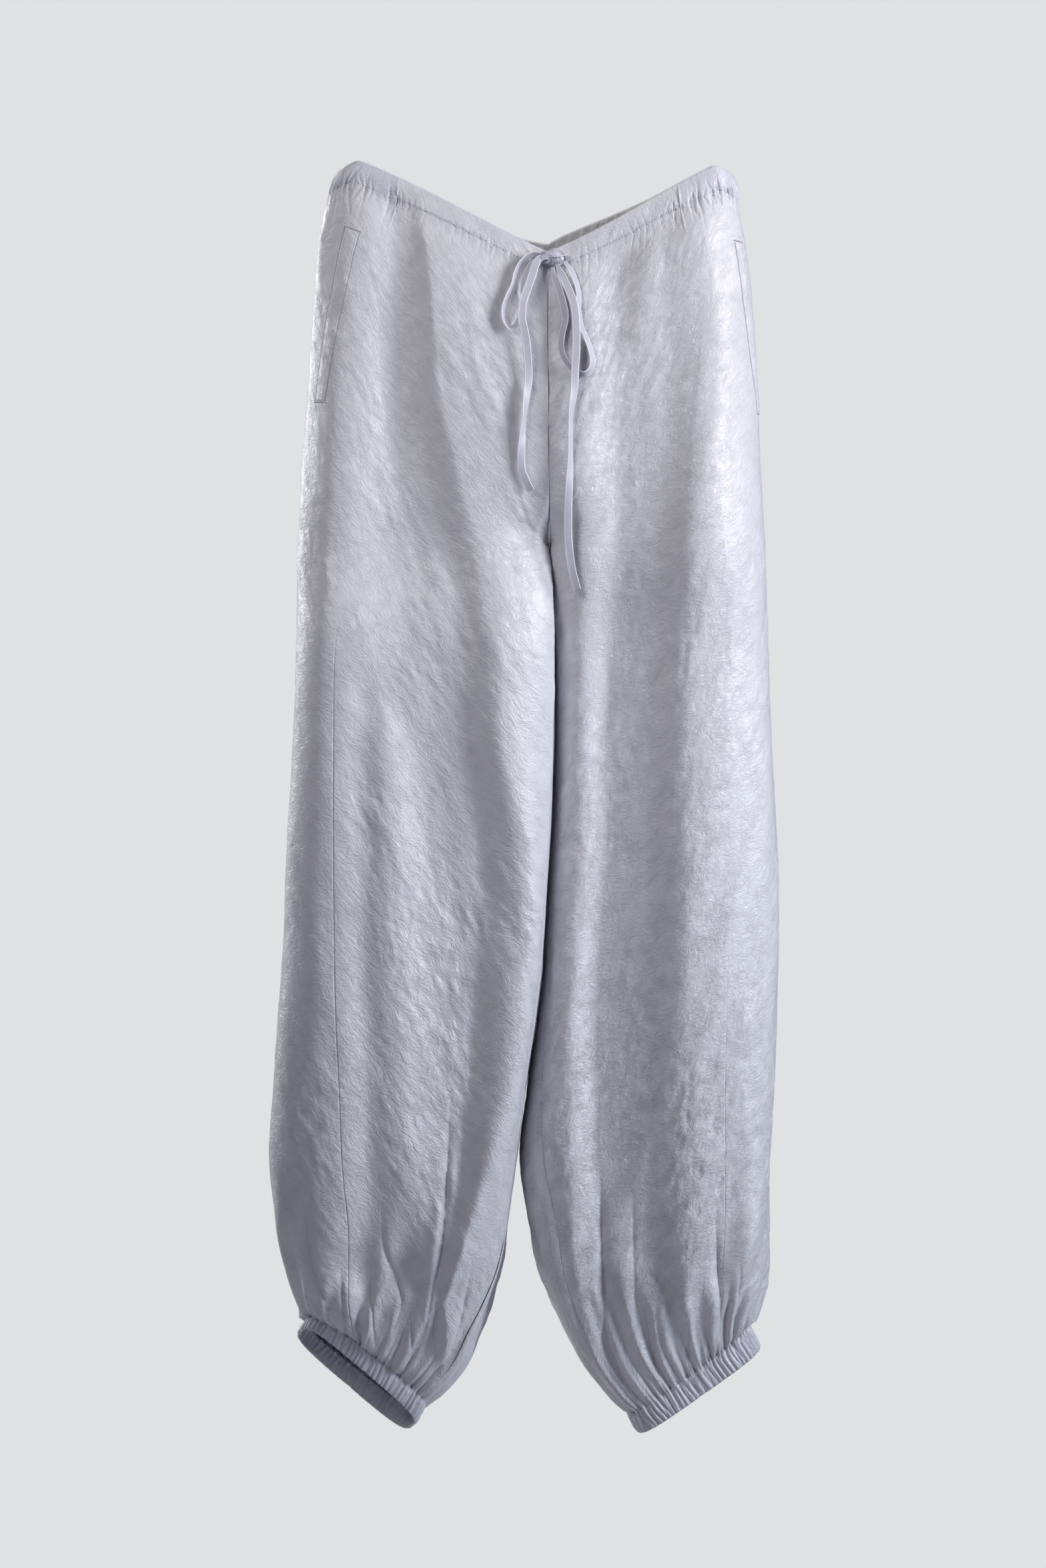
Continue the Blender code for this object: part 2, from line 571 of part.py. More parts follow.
def ring_rows(leg):
    """The two edges of a cuff, as closed rings."""
    around = np.concatenate([
        panel + np.linspace(0, 1, columns, endpoint=False) for panel, columns in enumerate(LOW_COLUMNS)
    ])
    rows = []
    for down, toward_down in ((CUFF_SEAM, 1), (CUFF_HEM, 0)):
        places = seam_inset(leg, around, np.full_like(around, down), 0, toward_down)
        rows.append((*cloth(leg, *places, thickness=CUFF_CLOTH), around, 3.0))
    return rows


def band_rows(legs, start, middle, columns):
    """Rows of a band that runs from one leg's seam over the middle of the body to the other's."""
    rows = []
    for down, toward_down in ((0, 0), (BAND_SEAM / 2, 0), (BAND_SEAM, -1)):
        halves = []
        for leg in legs:
            around = np.linspace(start, middle, columns + 1)
            toward_around = np.zeros_like(around)
            toward_around[0] = np.sign(middle - start)
            places = seam_inset(leg, around, np.full_like(around, down), toward_around, toward_down)
            halves.append(cloth(leg, *places, thickness=BAND_CLOTH))
        joined = []
        for first, second in zip(*halves):
            centre = (first[-1] + second[-1]) / 2
            joined.append(np.concatenate([first[:-1], centre[None], second[:-1][::-1]]))
        rows.append((*joined, np.arange(len(joined[0]))))
    return rows


def welt_rows(leg):
    """Rows of a pocket welt, made from the panel's own points and moved out."""
    down, front_edge, back_edge = np.array(WELTS[leg.name]).T
    rows = []
    for row_down in np.linspace(down[0], down[-1], WELT_ROWS):
        edges = [np.interp(row_down, down, edge) for edge in (front_edge, back_edge)]
        around = np.linspace(*edges, 3)
        lift = WELT_LIFT + CLOTH
        rows.append((*cloth(leg, around, np.full_like(around, row_down), CLOTH, lift), around))
    return rows


def curve_through(points, step):
    """Points about a step apart on a smooth curve through the rows of an array."""
    ends = np.vstack([2 * points[0] - points[1], points, 2 * points[-1] - points[-2]])
    samples = []
    for k in range(1, len(ends) - 2):
        p0, p1, p2, p3 = ends[k - 1 : k + 3]
        count = max(1, round(np.linalg.norm((p2 - p1)[:3]) / step))
        for t in np.linspace(0, 1, count, endpoint=False):
            samples.append(
                p1
                + (p2 - p0) * t / 2
                + (2 * p0 - 5 * p1 + 4 * p2 - p3) * t**2 / 2
                + (3 * p1 - p0 - 3 * p2 + p3) * t**3 / 2
            )
    samples.append(points[-1])
    return np.array(samples)


def tape_mesh(route, roots):
    """A flat tape along a route. Its width narrows towards each end that goes into the knot."""
    samples = curve_through(np.array(route, dtype=float), TAPE_STEP)
    centres, twists = samples[:, :3], np.radians(samples[:, 3])
    tangents = np.gradient(centres, axis=0)
    tangents /= np.linalg.norm(tangents, axis=1, keepdims=True)
    length = np.concatenate([[0], np.cumsum(np.linalg.norm(np.diff(centres, axis=0), axis=1))])
    reach = length if roots == 1 else np.minimum(length, length[-1] - length)
    width = TAPE_ROOT_WIDTH + (1 - TAPE_ROOT_WIDTH) * smooth(reach / TAPE_ROOT_LENGTH)
    flat = np.cross(tangents, (0, -1, 0))
    flat /= np.linalg.norm(flat, axis=1, keepdims=True)
    away = np.cross(flat, tangents)
    wide = flat * np.cos(twists)[:, None] + away * np.sin(twists)[:, None]
    thick = np.cross(wide, tangents)
    wide *= (TAPE_WIDTH / 2 * width)[:, None]
    thick *= TAPE_CLOTH / 2
    corners = [centres + a * wide + b * thick for a, b in ((-1, -1), (1, -1), (1, 1), (-1, 1))]
    vertices = [tuple(corner[k]) for k in range(len(centres)) for corner in corners]
    faces = [(0, 1, 2, 3)]
    for k in range(len(centres) - 1):
        for a in range(4):
            b = (a + 1) % 4
            faces.append((4 * k + a, 4 * k + b, 4 * k + 4 + b, 4 * k + 4 + a))
    last = 4 * (len(centres) - 1)
    faces.append((last, last + 1, last + 2, last + 3))
    return vertices, faces


def knot_mesh():
    """The knot: a small bun with the ridge of its wrapping strand slanting over it."""
    turns, rings = 16, 9
    vertices, faces = [], []
    for ring in range(1, rings):
        polar = math.pi * ring / rings
        for turn in range(turns):
            angle = 2 * math.pi * turn / turns
            direction = (math.cos(polar), math.sin(polar) * math.cos(angle), math.sin(polar) * math.sin(angle))
            slant = direction[0] + 0.4 * direction[2]
            swell = 1 + (KNOT_WRAP - 1) * math.exp(-((slant / 0.3) ** 2)) * (direction[1] < 0)
            vertices.append(tuple(
                c + r * d * swell / KNOT_WRAP for c, r, d in zip(KNOT_CENTRE, KNOT_RADII, direction)
            ))
    for ring in range(rings - 2):
        for turn in range(turns):
            a = ring * turns + turn
            b = ring * turns + (turn + 1) % turns
            faces.append((a, b, b + turns, a + turns))
    for pole, first in ((1, 0), (-1, (rings - 2) * turns)):
        vertices.append((KNOT_CENTRE[0] + pole * KNOT_RADII[0] / KNOT_WRAP, *KNOT_CENTRE[1:]))
        tip = len(vertices) - 1
        for turn in range(turns):
            faces.append((first + turn, first + (turn + 1) % turns, tip))
    return vertices, faces


def build_pants():
    """All sub-parts, parented to one empty at the origin."""
    root = bpy.data.objects.new("pants", None)
    bpy.context.scene.collection.objects.link(root)
    cloth_look = satin("crinkled_satin", SATIN)
    band_look = satin("gathered_satin", SATIN_SHADE)
    legs = (Leg("right", -1, RIGHT_SECTIONS), Leg("left", 1, LEFT_SECTIONS))
    for leg in legs:
        for panel, kind in enumerate(("front", "side", "back")):
            add_object(f"{kind}_panel_{leg.name}", *wall(panel_rows(leg, panel)), cloth_look, root)
        add_object(f"cuff_{leg.name}", *wall(ring_rows(leg), closed=True), band_look, root)
        add_object(f"pocket_welt_{leg.name}", *wall(welt_rows(leg)), cloth_look, root)
    front_band = wall(band_rows(legs, 1, 0, TOP_COLUMNS[0]))
    add_object("waistband_front", *front_band, cloth_look, root)
    elastic_band = wall(band_rows(legs, 1, 3, TOP_COLUMNS[1] + TOP_COLUMNS[2]))
    add_object("waistband_elastic", *elastic_band, band_look, root)
    for name, route in TAPES.items():
        roots = 2 if "loop" in name else 1
        add_object(name, *tape_mesh(route, roots), cloth_look, root)
    add_object("drawstring_knot", *knot_mesh(), cloth_look, root)


for old in list(bpy.data.objects):
    bpy.data.objects.remove(old)
build_pants()
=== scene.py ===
"""Looks of the balloon pants of crinkled satin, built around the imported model.

Sizes are in millimetres, in the model's own frame, and MM turns them into metres. +Z is up and the
front faces -Y. Sides are the wearer's, so the right leg is at -X, on the left of the picture.

A place on a leg is given by two numbers: "around", which is 0 at the inner front edge, 1 at the
outer front seam, 2 at the outer back seam and 3 at the inner back edge, and "down", the length of
cloth from the top edge of the waistband.
"""

import math

import bpy
import numpy as np
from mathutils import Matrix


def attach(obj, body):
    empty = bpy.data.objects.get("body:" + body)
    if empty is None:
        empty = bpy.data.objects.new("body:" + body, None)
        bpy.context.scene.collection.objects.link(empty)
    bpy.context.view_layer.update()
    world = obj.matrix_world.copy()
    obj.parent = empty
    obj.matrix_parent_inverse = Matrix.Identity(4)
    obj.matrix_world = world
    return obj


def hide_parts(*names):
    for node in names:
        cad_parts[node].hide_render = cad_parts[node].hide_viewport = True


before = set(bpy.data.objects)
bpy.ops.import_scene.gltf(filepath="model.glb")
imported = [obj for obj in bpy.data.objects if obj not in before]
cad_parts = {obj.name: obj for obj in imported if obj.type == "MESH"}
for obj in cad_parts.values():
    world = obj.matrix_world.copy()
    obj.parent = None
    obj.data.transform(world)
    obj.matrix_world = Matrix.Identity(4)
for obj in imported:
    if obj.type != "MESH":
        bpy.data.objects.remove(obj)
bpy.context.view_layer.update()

MM = 0.001

# Driving sizes, as in the model but for CLOSED_FULLNESS and the peak at the back of the waist, which
# follow the photograph more closely here
BAND_CLOTH = 1.7
CUFF_CLOTH = 2.0
BAND_SEAM = 25
CUFF_SEAM = 1085
CUFF_HEM = 1102
CROTCH = 380
CROTCH_CURVE_TOP = 250
SPLIT_TOP, SPLIT_LOW = 130, 540
SPLIT_EDGE = 0.22
OPEN_FULLNESS = 0.9
CLOSED_FULLNESS = 0.56
RISE_EASE = 30

# Sections of each leg. Places are x and z of the outer and the inner point, front and back are the
# half depths, lean moves the whole section back, pitch drops its back half, seam_front and
# seam_back are the shares of the way round at which the two outer seams lie, and turn is the angle
# by which the inseam lies forward of the innermost point.
SECTION_COLUMNS = (
    "down", "outer_x", "outer_z", "inner_x", "inner_z", "front", "back", "lean", "pitch",
    "seam_front", "seam_back", "turn",
)
RIGHT_SECTIONS = (
    (0, -172, -6, 10, -77, 20, 22, 0, 0, 0.239, 0.761, 0),
    (25, -179, -25, 10, -96, 24, 27, 0, 0, 0.232, 0.768, 0),
    (70, -186, -56, 10, -131, 32, 36, 0, 0, 0.24, 0.76, 0),
    (150, -192, -117, 10, -180, 41, 47, 0, 0, 0.245, 0.755, 0),
    (240, -198, -198, 10, -238, 48, 56, 0, 0, 0.26, 0.741, 0),
    (320, -203, -276, 11, -291, 52, 60, 0, 0, 0.285, 0.715, 0),
    (380, -206, -332, 11, -332, 52, 60, 0, 0, 0.307, 0.693, 0),
    (470, -207, -412, 14, -406, 53, 57, -11, 0, 0.308, 0.658, 8),
    (580, -212, -516, 15, -516, 53, 56, -12, 0, 0.296, 0.645, 11),
    (690, -217, -625, 10, -623, 53, 57, -12, 0, 0.281, 0.648, 13),
    (780, -221, -718, 3, -718, 54, 58, -12, 0, 0.268, 0.655, 14),
    (860, -227, -799, -9, -802, 55, 58, -11, 0, 0.251, 0.665, 14),
    (930, -230, -865, -18, -871, 54, 57, -8, 0, 0.241, 0.67, 14),
    (980, -224, -917, -27, -926, 51, 54, -4, 0, 0.234, 0.666, 15),
    (1020, -215, -949, -36, -969, 46, 49, 0, 0, 0.206, 0.644, 27),
    (1050, -207, -975, -51, -1011, 40, 43, 0, 3, 0.177, 0.622, 38),
    (1072, -202, -991, -69, -1048, 33, 36, 0, 7, 0.161, 0.62, 42),
    (1085, -199, -999, -97, -1077, 26, 28, 0, 11, 0.155, 0.64, 40),
    (1102, -205, -1010, -108, -1093, 25, 27, 0, 12, 0.152, 0.645, 40),
)
LEFT_SECTIONS = (
    (0, 170, -8, 10, -77, 20, 22, 0, 0, 0.234, 0.766, 0),
    (25, 174, -30, 10, -96, 24, 27, 0, 0, 0.233, 0.767, 0),
    (70, 178, -60, 10, -131, 32, 36, 0, 0, 0.24, 0.76, 0),
    (150, 187, -118, 10, -180, 41, 47, 0, 0, 0.248, 0.752, 0),
    (240, 192, -198, 10, -238, 48, 56, 0, 0, 0.265, 0.734, 0),
    (320, 195, -276, 11, -291, 52, 60, 0, 0, 0.29, 0.71, 0),
    (380, 198, -332, 11, -332, 52, 60, 0, 0, 0.304, 0.694, 0),
    (470, 201, -412, 14, -406, 53, 57, 11, 0, 0.296, 0.664, 8),
    (580, 205, -516, 14, -516, 53, 56, 12, 0, 0.273, 0.649, 14),
    (690, 209, -625, 9, -623, 53, 57, 12, 0, 0.25, 0.637, 20),
    (780, 209, -718, 2, -718, 54, 58, 12, 0, 0.227, 0.615, 28),
    (860, 206, -799, -8, -799, 55, 58, 11, 0, 0.207, 0.588, 37),
    (930, 202, -865, -14, -868, 54, 57, 8, 0, 0.185, 0.558, 48),
    (980, 201, -914, -4, -920, 51, 54, 4, 0, 0.177, 0.55, 50),
    (1020, 198, -951, 6, -961, 46, 49, 0, 0, 0.18, 0.553, 48),
    (1050, 194, -975, 25, -1001, 40, 43, 0, -1, 0.184, 0.564, 45),
    (1072, 188, -991, 49, -1046, 33, 36, 0, -3, 0.18, 0.578, 42),
    (1085, 184, -1003, 77, -1080, 26, 28, 0, -4, 0.162, 0.596, 40),
    (1102, 193, -1022, 88, -1096, 25, 27, 0, -5, 0.155, 0.6, 40),
)

# The top edge of the waistband stands above a straight line between its corner and its centre
WAIST_BOW = {"right": (16.8, 1.3), "left": (14.0, 2.2)}
WAIST_CORNER = 0.12
WAIST_FADE = (25, 160)
BACK_RISE = 4
BACK_PEAK = 8.5
BACK_PEAK_FROM, BACK_PEAK_TOP, BACK_PEAK_TO = -22, 22, 118

# Large folds: each is a crest or a valley that runs down the leg, given by its x and its height at
# the heights of FOLD_ROWS. Between neighbours the cloth runs in an even curve.
FOLD_ROWS = (-40, -120, -200, -300, -400, -500, -600, -700, -800, -900, -980)
FRONT_LINES = {
    "right": (
        ("side crest", (-150, -161, -167, -173, -177, -179, -181, -181, -180, -179, -170),
         (4, 8, 9, 9, 8, 8, 8, 8, 8, 7, 4)),
        ("side valley", (-120, -118, -117, -114, -109, -89, -72, -75, -79, -82, -95),
         (-4, -6, -7, -6, -6, -7, -7, -7, -7, -6, -4)),
        ("foot of the rise", (-110, -105, -103, -90, -68, -60, -52, -54, -60, -72, -88),
         (-3, -4, -4, -4, -4, -5, -7, -8, -8, -7, -4)),
        ("middle crest", (-98, -88, -81, -57, -30, -30, -10, -15, -27, -55, -78),
         (3, 6, 7, 8, 9, 10, 11, 12, 12, 12, 8)),
    ),
    "left": (
        ("middle crest", (38, 38, 38, 38, 38, 38, 36, 30, 28, 30, 34),
         (2, 3, 4, 5, 5, 5, 5, 6, 6, 6, 4)),
        ("middle valley", (73, 73, 73, 73, 66, 61, 60, 53, 52, 54, 58),
         (-3, -4, -5, -6, -6, -7, -7, -7, -7, -6, -4)),
        ("foot of the rise", (105, 105, 105, 105, 100, 96, 94, 92, 90, 92, 94),
         (0, 0, 0, 0, 1, 1, 1, 1, 1, 1, 1)),
        ("side crest", (139, 150, 150, 140, 133, 129, 129, 129, 131, 131, 129),
         (7, 11, 13, 15, 16, 17, 17, 17, 16, 14, 9)),
    ),
}
BACK_LINES = {
    "right": (
        ("side crest", (-148, -146, -145, -148, -158, -168, -172, -172, -168, -163, -150),
         (3, 6, 7, 8, 8, 8, 8, 8, 8, 7, 4)),
        ("side valley", (-112, -105, -102, -103, -108, -122, -130, -132, -130, -126, -115),
         (-4, -7, -8, -8, -8, -9, -9, -9, -9, -8, -4)),
        ("middle crest", (-62, -55, -52, -52, -56, -72, -80, -80, -82, -86, -85),
         (3, 6, 7, 7, 7, 8, 8, 8, 8, 7, 4)),
        ("middle valley", (-28, -30, -29, -22, -14, -30, -42, -46, -50, -56, -62),
         (-2, -4, -5, -5, -4, -7, -8, -8, -8, -6, -3)),
    ),
    "left": (
        ("middle valley", (30, 33, 33, 26, 20, 32, 31, 30, 33, 40, 46),
         (-2, -4, -5, -5, -4, -6, -7, -7, -7, -6, -3)),
        ("middle crest", (62, 61, 61, 62, 66, 76, 74, 72, 76, 84, 86),
         (3, 6, 7, 7, 7, 8, 8, 8, 8, 7, 4)),
        ("side valley", (108, 101, 99, 102, 110, 124, 130, 131, 130, 124, 116),
         (-4, -7, -8, -8, -8, -9, -9, -9, -9, -8, -4)),
        ("side crest", (140, 146, 149, 150, 152, 168, 171, 170, 166, 161, 152),
         (3, 6, 7, 8, 8, 8, 8, 8, 8, 7, 4)),
    ),
}
INNER_EDGE_HEIGHTS = {
    "right": (-1, -1, 0, 2, 5, 4, 3, 1, 0, 0, 0),
    "left": (-1, -1, 0, 2, 1, 0, 0, 0, 0, 0, 0),
}
FLAT_EDGE = (0,) * len(FOLD_ROWS)

# Smaller ridges and troughs of the front: x, z points down the fold, its half widths on the left
# and on the right of the picture, and its height, which is below 0 in a trough
FRONT_RIDGES = {
    "right": (
        (((-146, -425), (-147, -500), (-148, -600), (-148, -700), (-146, -800), (-143, -900),
          (-141, -990)), 10, 10, -4),
        (((-132, -460), (-122, -600), (-118, -700), (-113, -800), (-101, -900), (-95, -975)), 14, 12, 5),
        (((-75, -830), (-74, -900), (-78, -940), (-90, -973), (-97, -1020)), 14, 7, 6),
    ),
    "left": (
        (((178, -700), (180, -780), (182, -880), (178, -960), (172, -1000)), 9, 12, 4),
        (((99, -42), (91, -117), (84, -157), (55, -203), (30, -236)), 12, 14, 4),
    ),
}
RIDGE_TAPER = 45

# Puffs and sharp creases above the cuffs: puffs as the ridges above, and creases with the x, z
# points down their line, their half width and their depth
PUFF_TAPER = 34
CUFF_PUFFS = {
    "right": (
        (((-112, -950), (-114, -990), (-116, -1025)), 13, 9, 5),
        (((-150, -955), (-153, -1000), (-155, -1025)), 11, 10, 3),
        (((-190, -930), (-182, -980), (-176, -1018)), 8, 7, 3),
        (((-82, -880), (-88, -950), (-93, -990), (-97, -1030)), 4, 7, 3),
    ),
    "left": (
        (((138, -935), (143, -1000), (142, -1040)), 13, 8, 4),
        (((106, -955), (114, -1015), (122, -1055)), 10, 8, 3),
        (((72, -945), (80, -1010), (90, -1055)), 9, 9, 3),
        (((47, -900), (50, -980), (53, -1030)), 7, 5, 3),
    ),
}
CREASE_TAPER = 0.4
CUFF_CREASES = {
    "right": (
        (((-73, -790), (-76, -860), (-83, -943), (-90, -973), (-95, -1002), (-101, -1040)), 3.2, 6),
        (((-195, -880), (-192, -943), (-182, -973), (-174, -1010)), 2.2, 3.5),
        (((-133, -895), (-128, -943), (-121, -961), (-116, -979), (-123, -1005), (-132, -1026)), 2.2, 3.5),
        (((-168, -940), (-166, -975), (-160, -1018)), 1.6, 2.5),
        (((-143, -955), (-141, -985), (-138, -1026)), 1.5, 2.5),
        (((-108, -985), (-107, -1010), (-108, -1036)), 1.4, 2.5),
        (((-56, -940), (-67, -1000), (-82, -1048)), 2, 3),
    ),
    "left": (
        (((54, -850), (56, -935), (58, -997), (54, -1032)), 3, 4),
        (((57, -975), (60, -1011), (67, -1033), (75, -1050), (92, -1068)), 1.8, 3.2),
        (((151, -890), (155, -955), (157, -995), (153, -1030)), 2.2, 4.5),
        (((92, -970), (97, -1011), (103, -1037), (112, -1064)), 1.9, 3.5),
        (((128, -985), (130, -1010), (131, -1048)), 1.5, 2.5),
        (((172, -935), (171, -985), (166, -1022)), 1.6, 2.5),
        (((165, -955), (163, -990), (161, -1022)), 1.4, 2),
        (((82, -870), (84, -963), (87, -1015)), 3, 2.5),
        (((86, -950), (104, -962), (121, -976)), 2, 2),
    ),
}

# How far the cloth is turned to the front or the back where its folds begin and where they are full
FACING = (0.05, 0.5)
INNER_EDGE_SHARE = 0.035
# Where the outer seams start to show under the folds, where they show in full, and how much
SEAM_SHOWS = {"right": (430, 560, 1.0), "left": (700, 900, 0.5)}
INNER_SEAM_SHOWS = (0, 1, 0.5)
SEAM_DEPTH = 0.8
FOLD_START, FOLD_END = 60, 40
# The folds leave the centre seams, and then the inseams, between these distances down
SEAM_FOLDS = (180, 320)

# Gathers: their number round each cuff and in each panel at the elastic waistband, and their heights
CUFF_GATHERS, WAIST_GATHERS = 40, 12
CUFF_WAVE, CUFF_CREASE, CUFF_PLEAT, CUFF_PINCH = 1.5, 3.0, 2.2, 1.3
WAIST_WAVE = 1.1
# Waves in the puffs over the cuffs: how many a gather, height, distance over the seam and spread
PUFFS = ((0.5, 2.0, 30, 20), (0.25, 3.0, 70, 34))
# Height of the cloth that hangs over the cuffs, the pace of the close pleats in gathers, and the
# narrow troughs that run up the leg from them
PUFF_OVER = 4.4
PLEAT_PACE = 0.54
TUCK_PACE, TUCK_REACH, TUCK_DEPTH = 0.55, 34, 2.6
# Between these places around, the flat front ends and the gathers of the elastic part begin
FRONT_END, ELASTIC_START = (0.76, 0.96), (1.35, 1.7)
# Cloth across the front panel at the waist
FRONT_WIDTH = 190
# Puckers below the flat front: where, depth, pace, half width and reach
WAIST_CREASES = (("end", 2.8, 6.4, 1.0, 18), ("end", 2.0, 3.4, 0.7, 12), ("middle", 1.1, 7.0, 1.0, 14))
# Heights of the ripples, and how much of the finer ones each leg has
LONG_RIPPLE, SHORT_RIPPLE = 1.6, 0.75
LEG_CRINKLE = {"right": 0.85, "left": 1.2}
# Height of the panels over the form at the waist seam, and how far they run into the bands
PANEL_RISE = 0.85
SEWN_IN = (0.7, 1.6)

# Pocket welts: rows of distance down, and the places of the welt's front edge and its back edge
WELTS = {
    "right": ((74, 1.11, 1.188), (160, 1.165, 1.25), (247, 1.21, 1.305)),
    "left": ((82, 1.285, 1.375), (150, 1.278, 1.366), (206, 1.315, 1.403), (258, 1.4, 1.488)),
}
WELT_WIDTH, WELT_HEIGHT, WELT_ROLL = 12.0, 1.0, 0.5
# Width and height of the thread along each welt, and how far its bar tacks lie past its ends
WELT_THREAD = {"right": (0.5, 0.25), "left": (0.3, 0.08)}
BAR_TACK_PAST = 0.6
# Length of the stitches along a welt, and length, width and height of a bar tack's
WELT_STITCH = 2.2
BAR_TACK = (1.7, 0.9, 0.5)

# Drawstring: a flat tape tied in a bow. Each row is a point of the tape's middle line and the
# angle by which the tape turns there from lying flat against the cloth to standing on its edge.
TAPE_WIDTH = 7.0
TAPE_ROOT_WIDTH = 0.5
TAPE_ROOT_LENGTH = 15
TAPE_PITCH = 0.9
TAPE_CORE, TAPE_EDGE = 0.3, 0.26
TAPES = {
    "drawstring_loop_right": (
        (5.5, -25.7, -79.5, 30), (-4, -26.8, -80, 45), (-12, -29.2, -86, 50), (-17, -32.1, -95, 50),
        (-20, -35, -107, 50), (-25, -38.4, -118, 50), (-28, -40.8, -128, 50), (-27, -42.6, -138, 55),
        (-23, -43.5, -144, 55), (-18, -42.2, -142, 50), (-14, -40, -134, 45), (-11, -37.2, -123, 40),
        (-11, -34.4, -111, 35), (-10, -31.4, -101, 30), (-7, -28.8, -92, 30), (-2, -27.1, -86, 25),
        (4.6, -26.2, -84, 20),
    ),
    "drawstring_end_right": (
        (9.6, -31.1, -82.8, 0), (2.8, -33.1, -83.4, 0), (-1, -34.8, -89.5, 0),
        (-3.7, -36.8, -98, 0), (-7.4, -40, -109, 0), (-11.8, -43.8, -123, 0),
        (-12.5, -47.3, -137, 0), (-10.5, -48.3, -148, 0), (-9, -48.6, -157, 0), (-7, -50, -185, 10),
        (-9, -52.9, -206, 40), (-11, -54.8, -224, 70), (-13, -55.5, -249, 20),
        (-13, -55.3, -266, 0), (-9, -54.6, -277, -10), (-5, -54, -285, -15),
    ),
    "drawstring_loop_left": (
        (23.8, -28, -85.7, 20), (31, -34, -97, 45), (36, -39, -113, 50), (36, -42.4, -128, 50),
        (38, -45, -142, 50), (43, -46.9, -154, 50), (47, -48.3, -166, 50), (48, -50.2, -176, 50),
        (44, -51.6, -183, 55), (38, -51.8, -184.5, 55), (30, -49.8, -179, 50), (24, -47, -171, 50),
        (21, -44.4, -161, 45), (22, -42.2, -149, 40), (24.5, -40.6, -137, 35), (23.5, -38.6, -126, 30),
        (19, -33.6, -110, 25), (14.5, -28.6, -96, 20), (14, -27, -90.5, 10),
    ),
    "drawstring_end_left": (
        (17.5, -30.4, -88.6, 0), (21, -37.4, -97.5, 0), (26.5, -42.4, -109.5, 0),
        (31.5, -46.8, -123, 0), (33.6, -50.4, -139, 0), (34, -53.6, -157, 0),
        (33, -56.2, -178, 5), (32, -57.4, -199, 25), (29.5, -57.4, -218, 55),
        (29, -57.7, -238, 60), (29, -57.8, -257, 50), (28, -57.4, -276, 25),
        (27, -56.4, -297, 5), (27, -55.2, -325, 0), (29, -54, -346, -5), (32, -53, -360, -10),
        (35, -52.2, -370, -15),
    ),
}

# Strands of the knot: width, then rows of x, y, z and turn as in TAPES
KNOT_STRANDS = (
    (6.0, ((3, -25.5, -87, 60), (5, -28.8, -86.6, 30), (9, -31, -85, -10), (13, -31.8, -84, -50),
           (17, -31.4, -83, -80), (21, -29.8, -81.4, -100), (24.5, -26.4, -79.6, -120))),
    (6.4, ((24.5, -25.2, -84.5, 40), (22.5, -28.6, -80.4, 15), (18, -30, -78, -15),
           (13.5, -29.4, -77.4, -35), (10.5, -26.6, -79.6, -50))),
    (5.2, ((3.4, -26.2, -79.2, 35), (7.5, -28.4, -77.9, 25), (12, -30.4, -79.4, 5), (15, -32, -83, -10),
           (16.4, -31.6, -87, -15), (16.8, -28, -90, -15))),
    (5.4, ((1.5, -31.8, -90.5, 5), (3.2, -33.2, -85.6, 0), (7, -33.6, -82.6, -5), (11, -33, -82.4, -20),
           (15.5, -31, -84.2, -40))),
    (5.0, ((22.8, -29.6, -88.5, 15), (20, -31, -84.6, 0), (16, -31.6, -81.8, -20), (11.5, -30, -80, -35))),
)
KNOT_CORE = ((14.5, -26.6, -83), (9, 4.2, 6.2))

# Fineness of the cloth's mesh
ROW_PITCH = 3.0
FINE_PITCH = 1.4
FINE_REACH = 60
PANEL_COLUMNS = (144, 148, 118)
CUFF_COLUMNS = 800
BAND_ROWS, CUFF_ROWS = 14, 12
ROLL_POINTS = 5
FRONT_BAND_COLUMNS, ELASTIC_BAND_COLUMNS = 190, 520
WELT_PITCH, WELT_COLUMNS = 1.2, 25
SEAM_EDGE = (0, 0.25, 0.55, 1.0, 1.8, 2.8)
# The place farthest out on the side panel, from which the ripples are measured
OUTERMOST = 1.5
# Places along a row at which its length is measured, and the reach of closer ones at its corners
ROW_SHARES = np.linspace(0, 1, 1201)
ROW_NEAR = 0.02
# Steps around and down over which the directions of the form are taken
FRAME_STEPS = (0.01, 1.5)
# Distance between the panels on the UV map, and between the rows of a cuff on it
PANEL_UV_PITCH, CUFF_UV_PITCH = 400, 0.5
# Start of the noise's lattice, which keeps the numbers of its points above 0
LATTICE_START = 4000

# Stitch lines of the waistband, by their distance down, with the pitch of their stitches and the
# length, width and height of the thread
STITCH_LINES = (BAND_SEAM - 1.9, BAND_SEAM - 3.2)
STITCH_PITCH = 2.9
BAND_THREAD = (2.1, 0.5, 0.22)

# Satins: the darker and the lighter tone of each, and how deep its crinkle is
SATIN = ((0.56, 0.55, 0.59), (0.66, 0.65, 0.69))
SATINS = {
    "crinkled_satin": (*SATIN, 0.9),
    "crinkled_front_satin": (*SATIN, 1.25),
    "crinkled_side_satin": (*SATIN, 0.85),
    "gathered_satin_cloth": ((0.52, 0.515, 0.575), (0.62, 0.615, 0.68), 0.8),
    # The inner face of the elastic waistband: a much lighter copy of the satin, painted light for a face
    # that the lamps reach only weakly
    "waist_inside_cloth": ((0.76, 0.745, 0.76), (0.85, 0.835, 0.85), 0.8),
}
# The tape's colour, and the lighter colour of a highlight painted along its rolled edges
TAPE_COLOUR, TAPE_EDGE_HIGHLIGHT_COLOUR = (0.5, 0.49, 0.56), (0.7, 0.68, 0.74)
# Dark thread colour: partly the thread's own, partly painted shade of the seams and welt edges that it
# lines
THREAD_AND_SEAM_SHADE_COLOUR = (0.31, 0.3, 0.36)
CRINKLE_DEPTH = 0.0011

